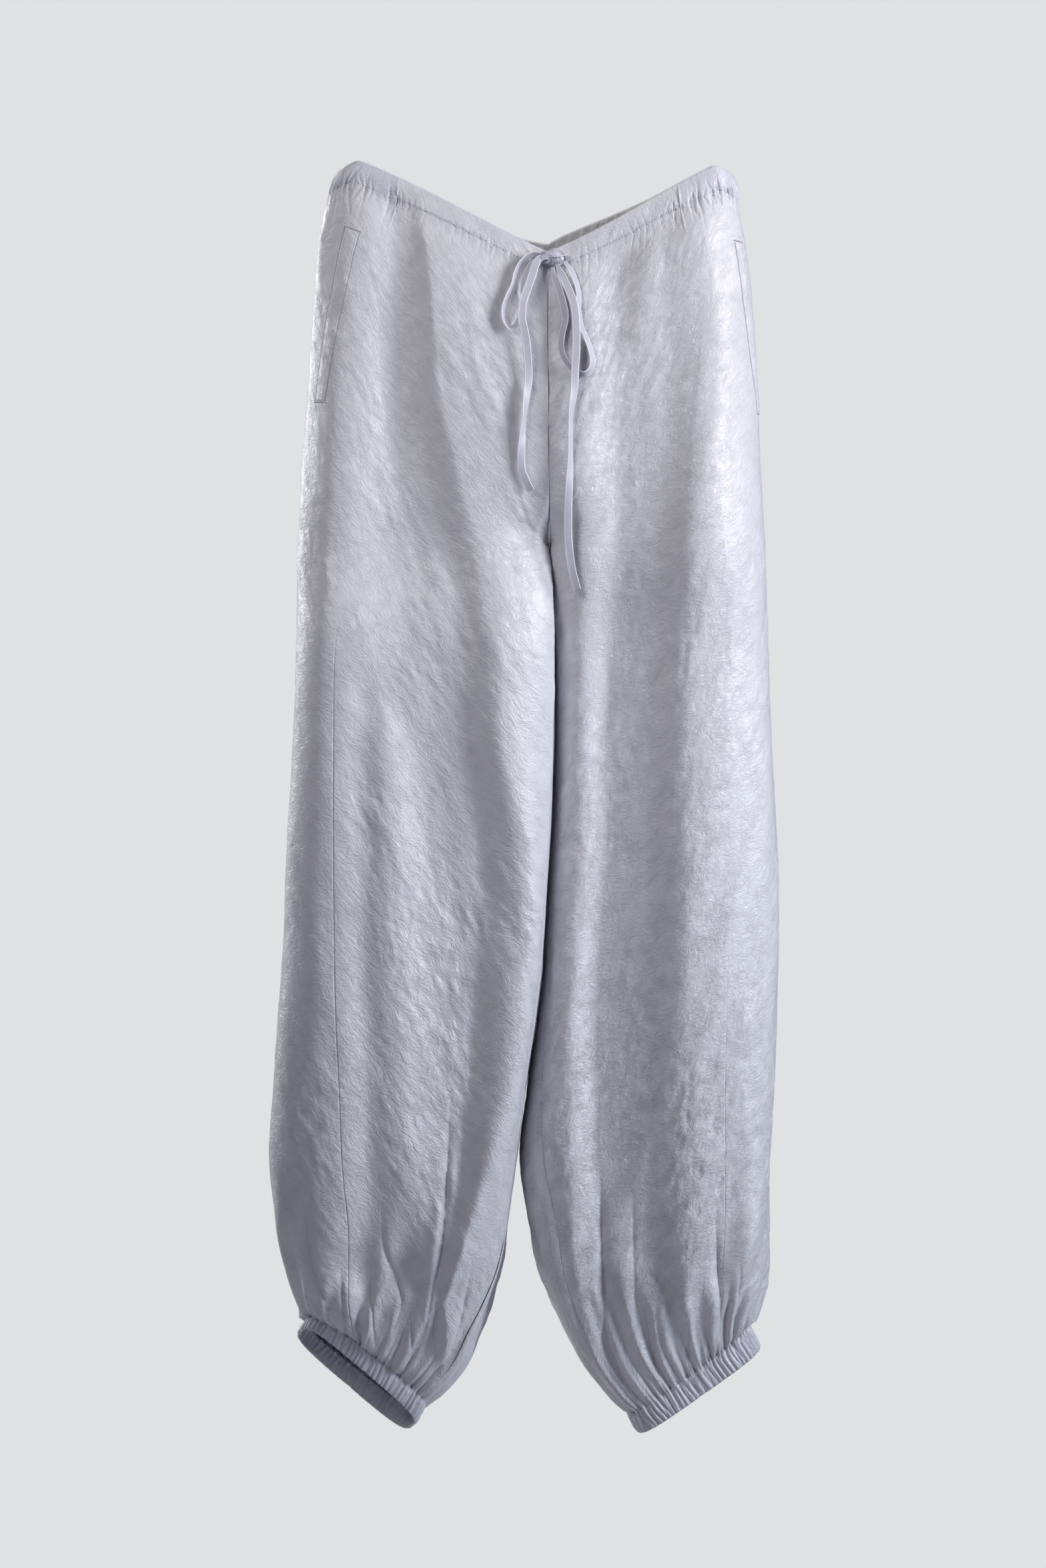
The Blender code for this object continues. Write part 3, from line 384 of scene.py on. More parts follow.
# Camera and stage, in metres
FRAME_CENTRE = (-0.0117, -0.536)
FRAME_HEIGHT = 1.359
CAMERA_AWAY = 4.5
SENSOR = 24.0
BACKDROP = (0.745, 0.753, 0.767)
AMBIENT_LOW = (0.012, 0.03, 0.11)
AMBIENT_HIGH = (0.155, 0.152, 0.168)
FLOOR_LEVEL, FLOOR_RADIUS, FLOOR_SIDES = -1.7, 1.3, 96
FLOOR_COLOUR = (0.8, 0.8, 0.81)
# Lights: place, target, width, height, power in watts, colour and spread in degrees
LIGHTS = {
    "key": ((1.9, -0.9, 0.36), (0, 0, -0.38), 0.8, 1.2, 11.7, (0.96, 0.98, 1.0), 80),
    "low_key": ((1.85, -1.0, -0.6), (0, 0, -0.85), 0.6, 0.6, 0.75, (0.5, 0.74, 1.0), 60),
    "fill": ((-1.5, -2.1, 1.2), (-0.02, 0, -0.1), 1.3, 0.8, 2.35, (1.0, 0.98, 0.95), 40),
    "behind": ((-2.4, 1.9, 0.6), (0, 0, -0.5), 1.2, 1.6, 74, (0.97, 0.98, 1.0), 180),
}


class Leg:
    """One leg: its name, its side of the body, its sections and the lengths of its rows."""

    def __init__(self, name, side, sections):
        self.name = name
        self.side = side
        columns = np.array(sections, dtype=float).T
        self.down = columns[0]
        self.values = dict(zip(SECTION_COLUMNS[1:], columns[1:]))
        self.rows = {}

    def read(self, key, down):
        """A column of the section table, read as a smooth curve at any distance down."""
        return smooth_curve(self.down, self.values[key], down)


def hermite(t, step, first, last, first_slope, last_slope):
    """A cubic curve over one step from a first value to a last, with a slope at each end."""
    return (
        first * (1 + 2 * t) * (1 - t) ** 2
        + first_slope * step * t * (1 - t) ** 2
        + last * t * t * (3 - 2 * t)
        - last_slope * step * t * t * (1 - t)
    )


def smooth_curve(knots, values, at):
    """Values between knots, read as a smooth curve whose end pieces run on past the ends."""
    knots, values = np.asarray(knots, float), np.asarray(values, float)
    slopes = np.gradient(values, knots)
    i = np.clip(np.searchsorted(knots, at) - 1, 0, len(knots) - 2)
    step = knots[i + 1] - knots[i]
    return hermite((at - knots[i]) / step, step, values[i], values[i + 1], slopes[i], slopes[i + 1])


def smooth(value):
    """0 below 0, 1 above 1 and an even rise between."""
    value = np.clip(value, 0.0, 1.0)
    return value * value * (3 - 2 * value)


def rise(value, start, end):
    """An even rise from 0 at the start to 1 at the end, which may lie on either side of it."""
    return smooth((value - start) / (end - start))


def bell(away, width):
    """1 in the middle, falling evenly on both sides."""
    return np.exp(-((away / width) ** 2))


def fuller(value, fullness):
    """A sine or cosine drawn out so that a section is a little squarer than an ellipse."""
    return np.sign(value) * np.abs(value) ** fullness


def unit(vectors):
    """The same directions with a length of 1."""
    return vectors / np.linalg.norm(vectors, axis=-1, keepdims=True)


def lengths_to(points):
    """The length of a line of points from its first point to each of them."""
    return np.concatenate([[0], np.cumsum(np.linalg.norm(np.diff(points, axis=0), axis=-1))])


def edge_open(down):
    """1 where the inner edges are apart, 0 below the crotch, and between them the rise's curve."""
    lower = np.clip((down - CROTCH_CURVE_TOP) / (CROTCH - CROTCH_CURVE_TOP), 0.0, 1.0)
    return np.sqrt(1 - lower * lower)


def open_share(share, down):
    """How far the section is open: the rise's curve at its inner edges, an even change between."""
    edge = np.minimum(share, 1 - share)
    inward = smooth(edge / SPLIT_EDGE)
    beside = smooth(edge / (SPLIT_EDGE / 4))
    steps = np.linspace(-1, 1, 9)
    eased = sum(edge_open(down + RISE_EASE * step) for step in steps) / len(steps)
    at_edge = edge_open(down) * (1 - beside) + eased * beside
    return at_edge * (1 - inward) + (1 - rise(down, SPLIT_TOP, SPLIT_LOW)) * inward


def share_round(leg, around, down):
    """The share of the way round the section for a place given by panel."""
    front, back = leg.read("seam_front", down), leg.read("seam_back", down)
    side_panel = front + (around - 1) * (back - front)
    back_panel = back + (around - 2) * (1 - back)
    return np.where(around < 1, around * front, np.where(around < 2, side_panel, back_panel))


def waist_lift(leg, out, ahead, x, down):
    """Height by which the waist stands above the straight section, in front and behind."""
    height, power = WAIST_BOW[leg.name]
    inward = np.clip(1 - out, 0.0, 1.0)
    near = np.clip(inward / WAIST_CORNER, 0.0, 1.0)
    corner = 0.4 * smooth(near) + 0.6 * near * (2 - near)
    bow = height * corner * np.cos(inward * math.pi / 2) ** power
    peak = BACK_PEAK * rise(x, BACK_PEAK_FROM, BACK_PEAK_TOP) * rise(x, BACK_PEAK_TO, BACK_PEAK_TOP)
    behind = smooth(-1.5 * ahead) * corner * (BACK_RISE + peak)
    return (bow + behind) * (1 - rise(down, *WAIST_FADE))


def form(leg, around, down):
    """Points of the smooth form of a leg, without folds and gathers, in millimetres."""
    around, down = np.broadcast_arrays(np.asarray(around, float), np.asarray(down, float))
    read = {key: leg.read(key, down) for key in SECTION_COLUMNS[1:]}
    share = share_round(leg, around, down)
    opened = open_share(share, down)
    half_turn = math.pi * share
    full_turn = 2 * math.pi * share + np.radians(read["turn"])
    closed_out = (1 - fuller(np.cos(full_turn), CLOSED_FULLNESS)) / 2
    closed_ahead = fuller(np.sin(full_turn), CLOSED_FULLNESS)
    out = opened * fuller(np.sin(half_turn), OPEN_FULLNESS) + (1 - opened) * closed_out
    ahead = opened * fuller(np.cos(half_turn), OPEN_FULLNESS) + (1 - opened) * closed_ahead
    depth = np.where(ahead > 0, read["front"], read["back"])
    across_x, across_z = read["outer_x"] - read["inner_x"], read["outer_z"] - read["inner_z"]
    pitched = read["pitch"] * ahead * leg.side / np.hypot(across_x, across_z)
    x = read["inner_x"] + across_x * out
    z = read["inner_z"] + across_z * out + waist_lift(leg, out, ahead, x, down)
    return np.stack([x - pitched * across_z, read["lean"] - depth * ahead, z + pitched * across_x], axis=-1)


def row_lengths(leg, down):
    """Places close together along one row, and the length of cloth from the front edge to each."""
    key = round(float(down), 3)
    if key not in leg.rows:
        front, back, turn = (float(leg.read(name, down)) for name in ("seam_front", "seam_back", "turn"))
        near = ROW_NEAR * np.linspace(0, 1, 60) ** 2
        corners = (np.arange(6) / 4 - turn / 360)[:, None]
        shares = np.concatenate([ROW_SHARES, (corners + near).ravel(), (corners - near).ravel()])
        around = np.interp(np.unique(np.clip(shares, 0, 1)), (0, front, back, 1), (0, 1, 2, 3))
        leg.rows[key] = (around, lengths_to(form(leg, around, down)))
    return leg.rows[key]


def run_along(leg, around, down):
    """Length of cloth along the row from the front inner edge to each place, and of the whole row."""
    around, down = np.broadcast_arrays(np.asarray(around, float), np.asarray(down, float))
    run, whole = np.empty(around.shape), np.empty(around.shape)
    for level in np.unique(down):
        here = down == level
        places, lengths = row_lengths(leg, level)
        run[here] = np.interp(around[here], places, lengths)
        whole[here] = lengths[-1]
    return run, whole


def form_frame(leg, around, down):
    """Outward and upward directions of the smooth form."""
    step_around, step_down = FRAME_STEPS
    along_row = form(leg, around + step_around, down) - form(leg, around - step_around, down)
    along_leg = form(leg, around, down + step_down) - form(leg, around, down - step_down)
    return unit(np.cross(along_row, along_leg) * -leg.side), unit(-along_leg)


def lattice_value(i, j, seed):
    """A fixed number from -1 to 1 for each point of a lattice."""
    mask = np.uint64(0xFFFFFFFF)
    n = i.astype(np.uint64) * np.uint64(374761393) + j.astype(np.uint64) * np.uint64(668265263)
    n = (n + np.uint64(seed * 2246822519 + 1)) & mask
    n = ((n ^ (n >> np.uint64(13))) * np.uint64(1274126177)) & mask
    n = n ^ (n >> np.uint64(16))
    return (n & np.uint64(0xFFFF)).astype(float) / 32767.5 - 1


def noise(u, v, seed, octaves=1):
    """Smooth noise, about -1 to 1, with features one unit across."""
    shift = LATTICE_START + 0.5
    u, v = np.broadcast_arrays(np.asarray(u, float) + shift, np.asarray(v, float) + shift)
    total, size = np.zeros(u.shape), 0.0
    for octave in range(octaves):
        pace, weight = 2.0**octave, 0.5**octave
        i, j = np.floor(u * pace).astype(np.int64), np.floor(v * pace).astype(np.int64)
        s, t = u * pace - i, v * pace - j
        s, t = s**3 * (s * (6 * s - 15) + 10), t**3 * (t * (6 * t - 15) + 10)
        corner = [lattice_value(i + a, j + b, seed + octave) for a in (0, 1) for b in (0, 1)]
        low = corner[0] * (1 - t) + corner[1] * t
        high = corner[2] * (1 - t) + corner[3] * t
        total += weight * (low * (1 - s) + high * s)
        size += weight
    return total / size


def drift(place, seed):
    """Smooth noise along a line."""
    return noise(place, place * 0, seed)


def curve_across(places, heights, at):
    """An even curve through crests and valleys, for every point of a sheet at once.

    places and heights hold one array for each line, in the order of their x.
    """
    gaps = [np.maximum(b - a, 3.0) for a, b in zip(places, places[1:])]
    rises = [(b - a) / gap for a, b, gap in zip(heights, heights[1:], gaps)]
    slopes = [np.zeros_like(at)]
    for a, b in zip(rises, rises[1:]):
        both = a * b
        slopes.append(np.where(both > 0, 2 * both / np.where(both > 0, a + b, 1.0), 0.0))
    slopes.append(np.zeros_like(at))
    result = np.where(at <= places[0], heights[0], heights[-1])
    for k, gap in enumerate(gaps):
        t = np.clip((at - places[k]) / gap, 0.0, 1.0)
        value = hermite(t, gap, heights[k], heights[k + 1], slopes[k], slopes[k + 1])
        result = np.where((at > places[k]) & (at <= places[k] + gap), value, result)
    return result


def by_fold_rows(values, z):
    """Values given at FOLD_ROWS, read as a smooth curve at any height."""
    rows = np.array(FOLD_ROWS[::-1], float)
    return smooth_curve(rows, np.array(values[::-1], float), np.clip(z, rows[0], rows[-1]))


def line_relief(leg, lines, inner_heights, x, z, down):
    """Height of the large folds that run down a leg, from its crests and valleys."""
    outer = (leg.read("outer_x", down), np.zeros_like(x))
    inner = (leg.read("inner_x", down), by_fold_rows(inner_heights, z))
    first, last = (outer, inner) if leg.side < 0 else (inner, outer)
    between = [(by_fold_rows(line_x, z), by_fold_rows(height, z)) for _, line_x, height in lines]
    places, heights = zip(first, *between, last)
    return curve_across(places, heights, x)


def beside_line(points, x, z, taper, share=0.0):
    """Distance to the right of a line of x, z points, and 1 along it that fades at both ends.

    The fade reaches in from each end by a taper in millimetres and a share of the line's height.
    """
    line_x, line_z = np.array(sorted(points, key=lambda point: point[1]), float).T
    level = np.clip(z, line_z[0], line_z[-1])
    before, here, after = (smooth_curve(line_z, line_x, level + step) for step in (-1, 0, 1))
    low, high = line_z[0], line_z[-1]
    reach = taper + share * (high - low)
    ends = rise(z, low, low + reach) * rise(z, high, high - reach)
    return (x - here) / np.hypot(1, (after - before) / 2), ends


def crease_relief(rows, x, z):
    """Depth of the sharp creases: a narrow valley with a sharp foot along each line."""
    depth = np.zeros_like(x)
    for points, width, deep in rows:
        away, ends = beside_line(points, x, z, 0, CREASE_TAPER)
        depth += deep * ends * np.exp(-np.abs(away) / width)
    return depth


def ridge_relief(rows, x, z, taper=RIDGE_TAPER):
    """Height of the smaller ridges and troughs, each a soft bell across its line."""
    relief = np.zeros_like(x)
    for points, left_width, right_width, height in rows:
        away, ends = beside_line(points, x, z, taper)
        relief += height * ends * bell(away, np.where(away < 0, left_width, right_width) * math.sqrt(2))
    return relief


def cuff_place(leg, around, down):
    """Which gather of the cuff a place lies on, counted along its row."""
    run, whole = run_along(leg, around, down)
    return CUFF_GATHERS * run / whole


def waist_place(around):
    """Which gather of the elastic waistband a place lies on."""
    return WAIST_GATHERS * np.clip(around - 1, 0, 2)


def gather_wave(place, seed):
    """Uneven gathers: broad rounded ridges with narrow valleys between them, about -1 to 1."""
    shifted = place + 0.3 * drift(place * 0.9, seed)
    turn = (1 - np.cos(2 * math.pi * shifted)) / 2
    return (1 - 2 * turn**3.5) * (0.75 + 0.4 * drift(place * 0.8, seed + 1))


def creases(run, away, pace, width, reach, seed):
    """Depth of sharp little valleys, one for each pace of the run, each with its slant and reach."""
    cell = np.floor(run / pace)
    depth = np.zeros(np.broadcast(run, away).shape)
    for step in (-1, 0, 1):
        number = (cell + step + LATTICE_START).astype(np.int64)
        shift, slant, longer, size = (lattice_value(number, number * 0 + k, seed) for k in range(4))
        middle = (cell + step + 0.5 + 0.35 * shift) * pace + 0.35 * slant * away
        fade = np.exp(-((away / (reach * (1 + 0.6 * longer))) ** 1.5))
        depth += np.clip(0.5 + 0.6 * size, 0, 1) * fade * np.exp(-np.abs(run - middle) / width)
    return depth


def pleats(run, pace, seed):
    """Depth of close pleats: rounded ridges with a sharp foot between them, from 0 to about 1."""
    turn = run / pace
    shifted = turn + 0.38 * drift(turn * 0.8, seed)
    size = 0.8 + 0.3 * drift(turn * 0.45, seed + 1)
    return size * (1 - np.sqrt(np.abs(np.sin(math.pi * shifted))))


def tucks(place, above, seed):
    """Depth of the narrow troughs that run up the leg from the cuff, each to its own height."""
    shifted = place * TUCK_PACE + 0.5 * noise(place * 0.4, above / 45, seed + 20)
    valley = ((1 - np.cos(2 * math.pi * shifted)) / 2) ** 7
    number = np.floor(shifted)
    reach = np.maximum(TUCK_REACH * (1 + 0.75 * drift(number * 1.7, seed + 21)), 12)
    swell = np.clip(above / 6, 0, 1) * np.exp(-((above / reach) ** 1.6))
    return TUCK_DEPTH * (0.7 + 0.5 * drift(number * 2.3, seed + 22)) * valley * swell


def cuff_relief(leg, around, down):
    """Gathers at the cuff and the puffs above it."""
    seed = 30 + leg.side
    above = np.maximum(CUFF_SEAM - down, 0)
    place = cuff_place(leg, around, down)
    reach = np.maximum(16 * (1 + 0.8 * drift(place * 0.7, seed + 4)), 5)
    relief = CUFF_WAVE * gather_wave(place, seed) * np.exp(-above / reach)
    relief -= tucks(place, above, seed)
    relief -= CUFF_CREASE * creases(place, above / 60, 0.9, 0.2, 0.3, seed + 40)
    relief -= CUFF_PLEAT * pleats(place, PLEAT_PACE, seed + 43) * np.exp(-above / 7)
    relief -= CUFF_PINCH * np.exp(-above / 1.2)
    pouch = PUFF_OVER * (0.75 + 0.5 * drift(place * 0.35, seed + 9))
    relief += pouch * smooth(above / 6) * np.exp(-((above / 30) ** 1.5))
    for k, (pace, height, centre, spread) in enumerate(PUFFS):
        swell = bell(above - centre, spread * math.sqrt(2)) * (above > 0)
        shift = 0.3 * noise(place * pace, above / 60, seed + 7 + k)
        relief += height * np.cos(2 * math.pi * (place * pace + shift) + pace) * swell
    return relief


def waist_relief(leg, around, down):
    """Gathers of the elastic part, and small uneven puckers of the flat front."""
    seed = 60 + leg.side
    below = np.maximum(down - BAND_SEAM, 0)
    from_seam = below + 1.6 * np.maximum(BAND_SEAM - down, 0)
    place, run = waist_place(around), around * FRONT_WIDTH
    behind = rise(around, *ELASTIC_START)
    reach = np.maximum(20 * (1 + 0.7 * drift(place * 0.7, seed)), 7)
    relief = WAIST_WAVE * (1 + gather_wave(place, seed)) * behind * np.exp(-below / reach)
    at_end = rise(around, *FRONT_END) * (1 - behind)
    parts = {"end": at_end, "middle": (1 - at_end) * (1 - behind)}
    for k, (part, depth, pace, width, reach) in enumerate(WAIST_CREASES):
        relief -= depth * parts[part] * creases(run, from_seam, pace, width, reach, seed + 11 + k)
    join = bell((around - 1) * FRONT_WIDTH, 0.9) * rise(down, 60, 35)
    return relief + 0.8 * join


def soft_ripples(leg, around, down):
    """Soft uneven ripples of hung satin, longer down the leg than across it."""
    seed = 90 + 20 * (leg.side > 0)
    u, v = run_along(leg, around, down)[0] - run_along(leg, OUTERMOST, down)[0], down
    long_ripple = LONG_RIPPLE * noise((u + 0.18 * v) / 34, v / 150, seed, 2)
    short_ripple = SHORT_RIPPLE * noise((u + 0.45 * v) / 13, v / 48, seed + 5, 2)
    crinkle = noise((u + 0.7 * v) / 5.5, (v - 0.7 * u) / 13, seed + 12, 2)
    crinkle *= 0.42 + 0.4 * rise(down, 450, 800)
    patch = np.clip(0.5 + 0.9 * noise(u / 42, v / 75, seed + 9), 0, 1.2)
    beside = rise(around, 0.85, 1.15) * rise(around, 2.3, 2)
    rough = LEG_CRINKLE[leg.name] * (1 - 0.3 * beside)
    return long_ripple + rough * (short_ripple + crinkle) * (0.25 + 1.1 * patch)


def edge_share(leg, around, down):
    """0 on a leg's inner edges, and 1 a little way in from them."""
    share = share_round(leg, around, down)
    return smooth(np.minimum(share, 1 - share) / INNER_EDGE_SHARE)


def above_cuff(down):
    """1 down the leg, and an even fall to 0 at the cuff's seam."""
    return rise(down, CUFF_SEAM, CUFF_SEAM - FOLD_END)


def free_of_seam(leg, around, down):
    """1 where the folds are free: everywhere but beside the rise and the inseams."""
    at_seam = 1 - rise(down, *SEAM_FOLDS)
    return at_seam + (1 - at_seam) * edge_share(leg, around, down)


def fold_relief(leg, around, down, points, normals):
    """Height of the folds, which begin in the waistband and end at the cuff."""
    x, z = points[..., 0], points[..., 2]
    front = line_relief(leg, FRONT_LINES[leg.name], INNER_EDGE_HEIGHTS[leg.name], x, z, down)
    front += ridge_relief(FRONT_RIDGES[leg.name], x, z)
    back = line_relief(leg, BACK_LINES[leg.name], FLAT_EDGE, x, z, down)
    folds = rise(-normals[..., 1], *FACING) * front + rise(normals[..., 1], *FACING) * back
    return folds * smooth(down / FOLD_START) * above_cuff(down) * free_of_seam(leg, around, down)


def cloth_relief(leg, around, down, points, normals):
    """Height of folds, ripples and gathers over the smooth form."""
    x, z = points[..., 0], points[..., 2]
    rippled = soft_ripples(leg, around, down) * rise(down, BAND_SEAM, BAND_SEAM + 60)
    rippled *= (0.35 + 0.65 * above_cuff(down)) * free_of_seam(leg, around, down)
    low = ridge_relief(CUFF_PUFFS[leg.name], x, z, PUFF_TAPER) - crease_relief(CUFF_CREASES[leg.name], x, z)
    low *= rise(-normals[..., 1], *FACING) * edge_share(leg, around, down)
    gathers = cuff_relief(leg, around, down) + waist_relief(leg, around, down)
    meet = PANEL_RISE * np.exp(-np.maximum(down - BAND_SEAM, 0) / 7)
    return fold_relief(leg, around, down, points, normals) + rippled + low + gathers + meet


def seam_groove(leg, around, down):
    """Height lost in the seams down the panels, with light puckers beside them."""
    relief = np.zeros_like(around)
    step = FRAME_STEPS[0]
    along_row = form(leg, around + step, down) - form(leg, around - step, down)
    speed = np.linalg.norm(along_row, axis=-1) / (2 * step)
    for seam in (0, 1, 2, 3):
        away = np.abs(around - seam) * speed
        start, end, most = SEAM_SHOWS[leg.name] if seam in (1, 2) else INNER_SEAM_SHOWS
        pucker = 0.3 * noise(down / 5.2, around * 0 + seam, 140 + seam)
        relief += most * rise(down, start, end) * (pucker * bell(away, 5) - SEAM_DEPTH * bell(away, 0.35))
    return relief


def panel_relief(leg, around, down, points, normals):
    """Height of a panel's cloth, with its seams."""
    return cloth_relief(leg, around, down, points, normals) + seam_groove(leg, around, down)


def raised(leg, around, down, relief, lift=0.0, share=1.0):
    """Points of the form moved out by a relief and a lift, and the out and up directions there."""
    points = form(leg, around, down)
    normals, ups = form_frame(leg, around, down)
    height = relief(leg, around, down, points, normals) * share + lift
    return points + normals * height[..., None], normals, ups


def grid_faces(rows, columns, closed=False, ring=False):
    """Quads of a grid, whose last column may join its first, and its last row its first."""
    row = np.arange(rows if ring else rows - 1)[:, None]
    column = np.arange(columns if closed else columns - 1)
    here, next_row, after = row * columns, (row + 1) % rows * columns, (column + 1) % columns
    corners = (here + column, here + after, next_row + after, next_row + column)
    return np.stack(corners, axis=-1).reshape(-1, 4)


def add_mesh(name, points, faces, uv=None, material=None, flip=False):
    """A smooth-shaded object from points in millimetres, with an optional UV map in metres."""
    if not isinstance(faces, list):
        faces = (faces[:, ::-1] if flip else faces).tolist()
    mesh = bpy.data.meshes.new(name)
    mesh.from_pydata((np.reshape(points, (-1, 3)) * MM).tolist(), [], faces)
    if uv is not None:
        corners = [corner for face in faces for corner in face]
        layer = mesh.uv_layers.new(name="cloth")
        layer.data.foreach_set("uv", (np.reshape(uv, (-1, 2)) * MM)[corners].ravel())
    mesh.shade_smooth()
    mesh.materials.append(material)
    thing = bpy.data.objects.new(name, mesh)
    bpy.context.scene.collection.objects.link(thing)
    return thing


def panel_places(leg, panel):
    """Rows and columns of one panel's mesh, finer along its seams."""
    top, low = BAND_SEAM + FINE_REACH, CUFF_SEAM - FINE_REACH
    fine = int(FINE_REACH / FINE_PITCH)
    down = np.concatenate([
        [BAND_SEAM - SEWN_IN[0]],
        np.linspace(BAND_SEAM, top, fine, endpoint=False),
        np.linspace(top, low, int((low - top) / ROW_PITCH), endpoint=False),
        np.linspace(low, CUFF_SEAM, fine + 1),
        [CUFF_SEAM + SEWN_IN[1]],
    ])
    edge = np.array(SEAM_EDGE)
    inner = np.linspace(0, 1, PANEL_COLUMNS[panel] - 2 * len(SEAM_EDGE) + 2)
    rows = []
    for level in down:
        places, lengths = row_lengths(leg, level)
        first, last = np.interp((panel, panel + 1), places, lengths)
        between = first + edge[-1] + (last - first - 2 * edge[-1]) * inner
        run = np.concatenate([first + edge[:-1], between, last - edge[:-1][::-1]])
        around = np.interp(run, lengths, places)
        around[[0, -1]] = panel, panel + 1
        rows.append(around)
    return np.array(rows), np.broadcast_to(down[:, None], (len(down), len(rows[0])))


def panel_shell(leg, panel, kind, material):
    """One panel of the leg as a thin shell, with its greatest width and its area."""
    around, down = panel_places(leg, panel)
    shell = raised(leg, around, down, panel_relief)[0]
    spans = np.linalg.norm(np.diff(form(leg, around, down), axis=1), axis=-1)
    across = np.concatenate([np.zeros((len(down), 1)), np.cumsum(spans, axis=1)], axis=1)
    across += panel * PANEL_UV_PITCH - across[:, -1:] / 2
    uv = np.stack([across, down], axis=-1)
    faces = grid_faces(*around.shape)
    piece = add_mesh(f"{kind}_panel_{leg.name}_cloth", shell, faces, uv, material, flip=leg.side < 0)
    widths = spans.sum(axis=-1)
    area = ((widths[1:] + widths[:-1]) / 2 * np.diff(down[:, 0])).sum()
    return piece, widths.max(), area


def band_profile(top, bottom, thickness, rows):
    """The rounded section of a folded band: down, offset outward, offset up and share of relief."""
    half = thickness / 2
    face = np.linspace(bottom - half, top + half, rows)
    roll = np.linspace(0, math.pi, ROLL_POINTS + 2)[1:-1]
    sides, turns = half * np.cos(roll), half * np.sin(roll)
    parts = [
        (face, np.full(rows, half), np.zeros(rows), np.ones(rows)),
        (np.full(ROLL_POINTS, top + half), sides, turns, 0.9 + 0.1 * np.cos(roll)),
        (face[::-1], np.full(rows, -half), np.zeros(rows), np.full(rows, 0.8)),
        (np.full(ROLL_POINTS, bottom - half), -sides, -turns, 0.9 - 0.1 * np.cos(roll)),
    ]
    return [np.concatenate(column) for column in zip(*parts)]


def band_points(leg, around, profile, relief):
    """Points of a band: a row for each place around and a column for each point of its section."""
    down, outward, upward, share = (np.broadcast_to(part, (len(around), len(part))) for part in profile)
    place = np.broadcast_to(around[:, None], down.shape)
    points, _, ups = raised(leg, place, down, relief, outward, share)
    return points + ups * upward[..., None]


def band_mesh(name, rings, pitch, material, ring):
    """A band from its rows of section points."""
    shape = rings.shape[:2]
    run = np.broadcast_to((np.arange(shape[0]) * pitch)[:, None], shape)
    uv = np.stack([run, np.broadcast_to(lengths_to(rings[0]), shape)], axis=-1)
    return add_mesh(name, rings, grid_faces(*shape, closed=True, ring=ring), uv, material)


def below_top(down):
    """How much of the gathers shows in the waistband: little at its top edge, all further down."""
    return 0.15 + 0.85 * smooth(down / 10)


def front_band_relief(leg, around, down, points, normals):
    """The flat front of the waistband: slanting dents between its seam and its top edge."""
    crown = np.sin(math.pi * np.clip(down / BAND_SEAM, 0, 1))
    run = around * FRONT_WIDTH
    soft = 0.5 * noise(run / 22, down / 40, 170 + leg.side)
    dents = noise((run + 0.9 * down) / 7, (down - 0.4 * run) / 26, 174 + leg.side, 2)
    patch = np.clip(0.3 + noise(run / 30, down / 60, 176 + leg.side), 0, 1)
    relief = waist_relief(leg, around, down) * below_top(down) - 0.25 * bell(BAND_SEAM - 2.5 - down, 1.6)
    relief += (0.3 + soft + 0.9 * dents * patch) * crown
    return fold_relief(leg, around, down, points, normals) + relief


def elastic_band_relief(leg, around, down, points, normals):
    """The elastic part of the waistband: deep gathers that pinch in at the stitch lines."""
    crown = np.sin(math.pi * np.clip(down / BAND_SEAM, 0, 1))
    place, behind = waist_place(around), rise(around, *ELASTIC_START)
    fine = 0.35 * gather_wave(place * 2.3, 180 + leg.side) * behind
    valleys = 2.4 * creases(place, place * 0, 0.85, 0.09, 1.0, 186 + leg.side) * behind
    gathers = (waist_relief(leg, around, down) - valleys) * below_top(down)
    return fold_relief(leg, around, down, points, normals) + gathers + (0.8 + fine) * crown


def cuff_band_relief(leg, around, down, *_):
    """The elastic cuff: gathers over the band, each a little different."""
    middle = np.clip((down - CUFF_SEAM) / (CUFF_HEM - CUFF_SEAM), 0, 1)
    place = cuff_place(leg, around, down)
    slanted = place + 0.5 * (middle - 0.5) * drift(place * 0.6, 196 + leg.side)
    fine = 0.3 * gather_wave(slanted * 1.9, 190 + leg.side)
    folds = 3.0 * pleats(slanted, PLEAT_PACE * 1.12, 192 + leg.side) * smooth(middle * 5)
    carried = cuff_relief(leg, around, down) * (1 - 0.7 * smooth(middle * 6))
    return carried + (0.9 + fine) * np.sin(math.pi * middle) - folds - 0.9 * (1 - smooth(middle * 5))


def waistband(name, count, relief, material):
    """A band from one outer front seam to the other, over the front or round the back."""
    profile = band_profile(0, BAND_SEAM, BAND_CLOTH, BAND_ROWS)
    middle = 0 if relief is front_band_relief else 3
    halves = [band_points(leg, np.linspace(1, middle, count), profile, relief) for leg in legs]
    centre = (halves[0][-1:] + halves[1][-1:]) / 2
    rings = np.concatenate([halves[0][:-1], centre, halves[1][:-1][::-1]])
    pitch = np.linalg.norm(rings[1:, 0] - rings[:-1, 0], axis=-1).mean()
    return band_mesh(name, rings, pitch, material, ring=False)


def paint_light_inside(band, material):
    """Give the inner face of a waistband a much lighter copy of the satin: painted light on a face that the
    lamps reach only weakly.
    """
    band.data.materials.append(material)
    place = np.arange(len(band.data.polygons)) % (2 * (BAND_ROWS + ROLL_POINTS))
    first, end = BAND_ROWS + ROLL_POINTS - 2, 2 * BAND_ROWS + ROLL_POINTS + 1
    inner = (place >= first) & (place < end)
    band.data.polygons.foreach_set("material_index", inner.astype(np.int32))


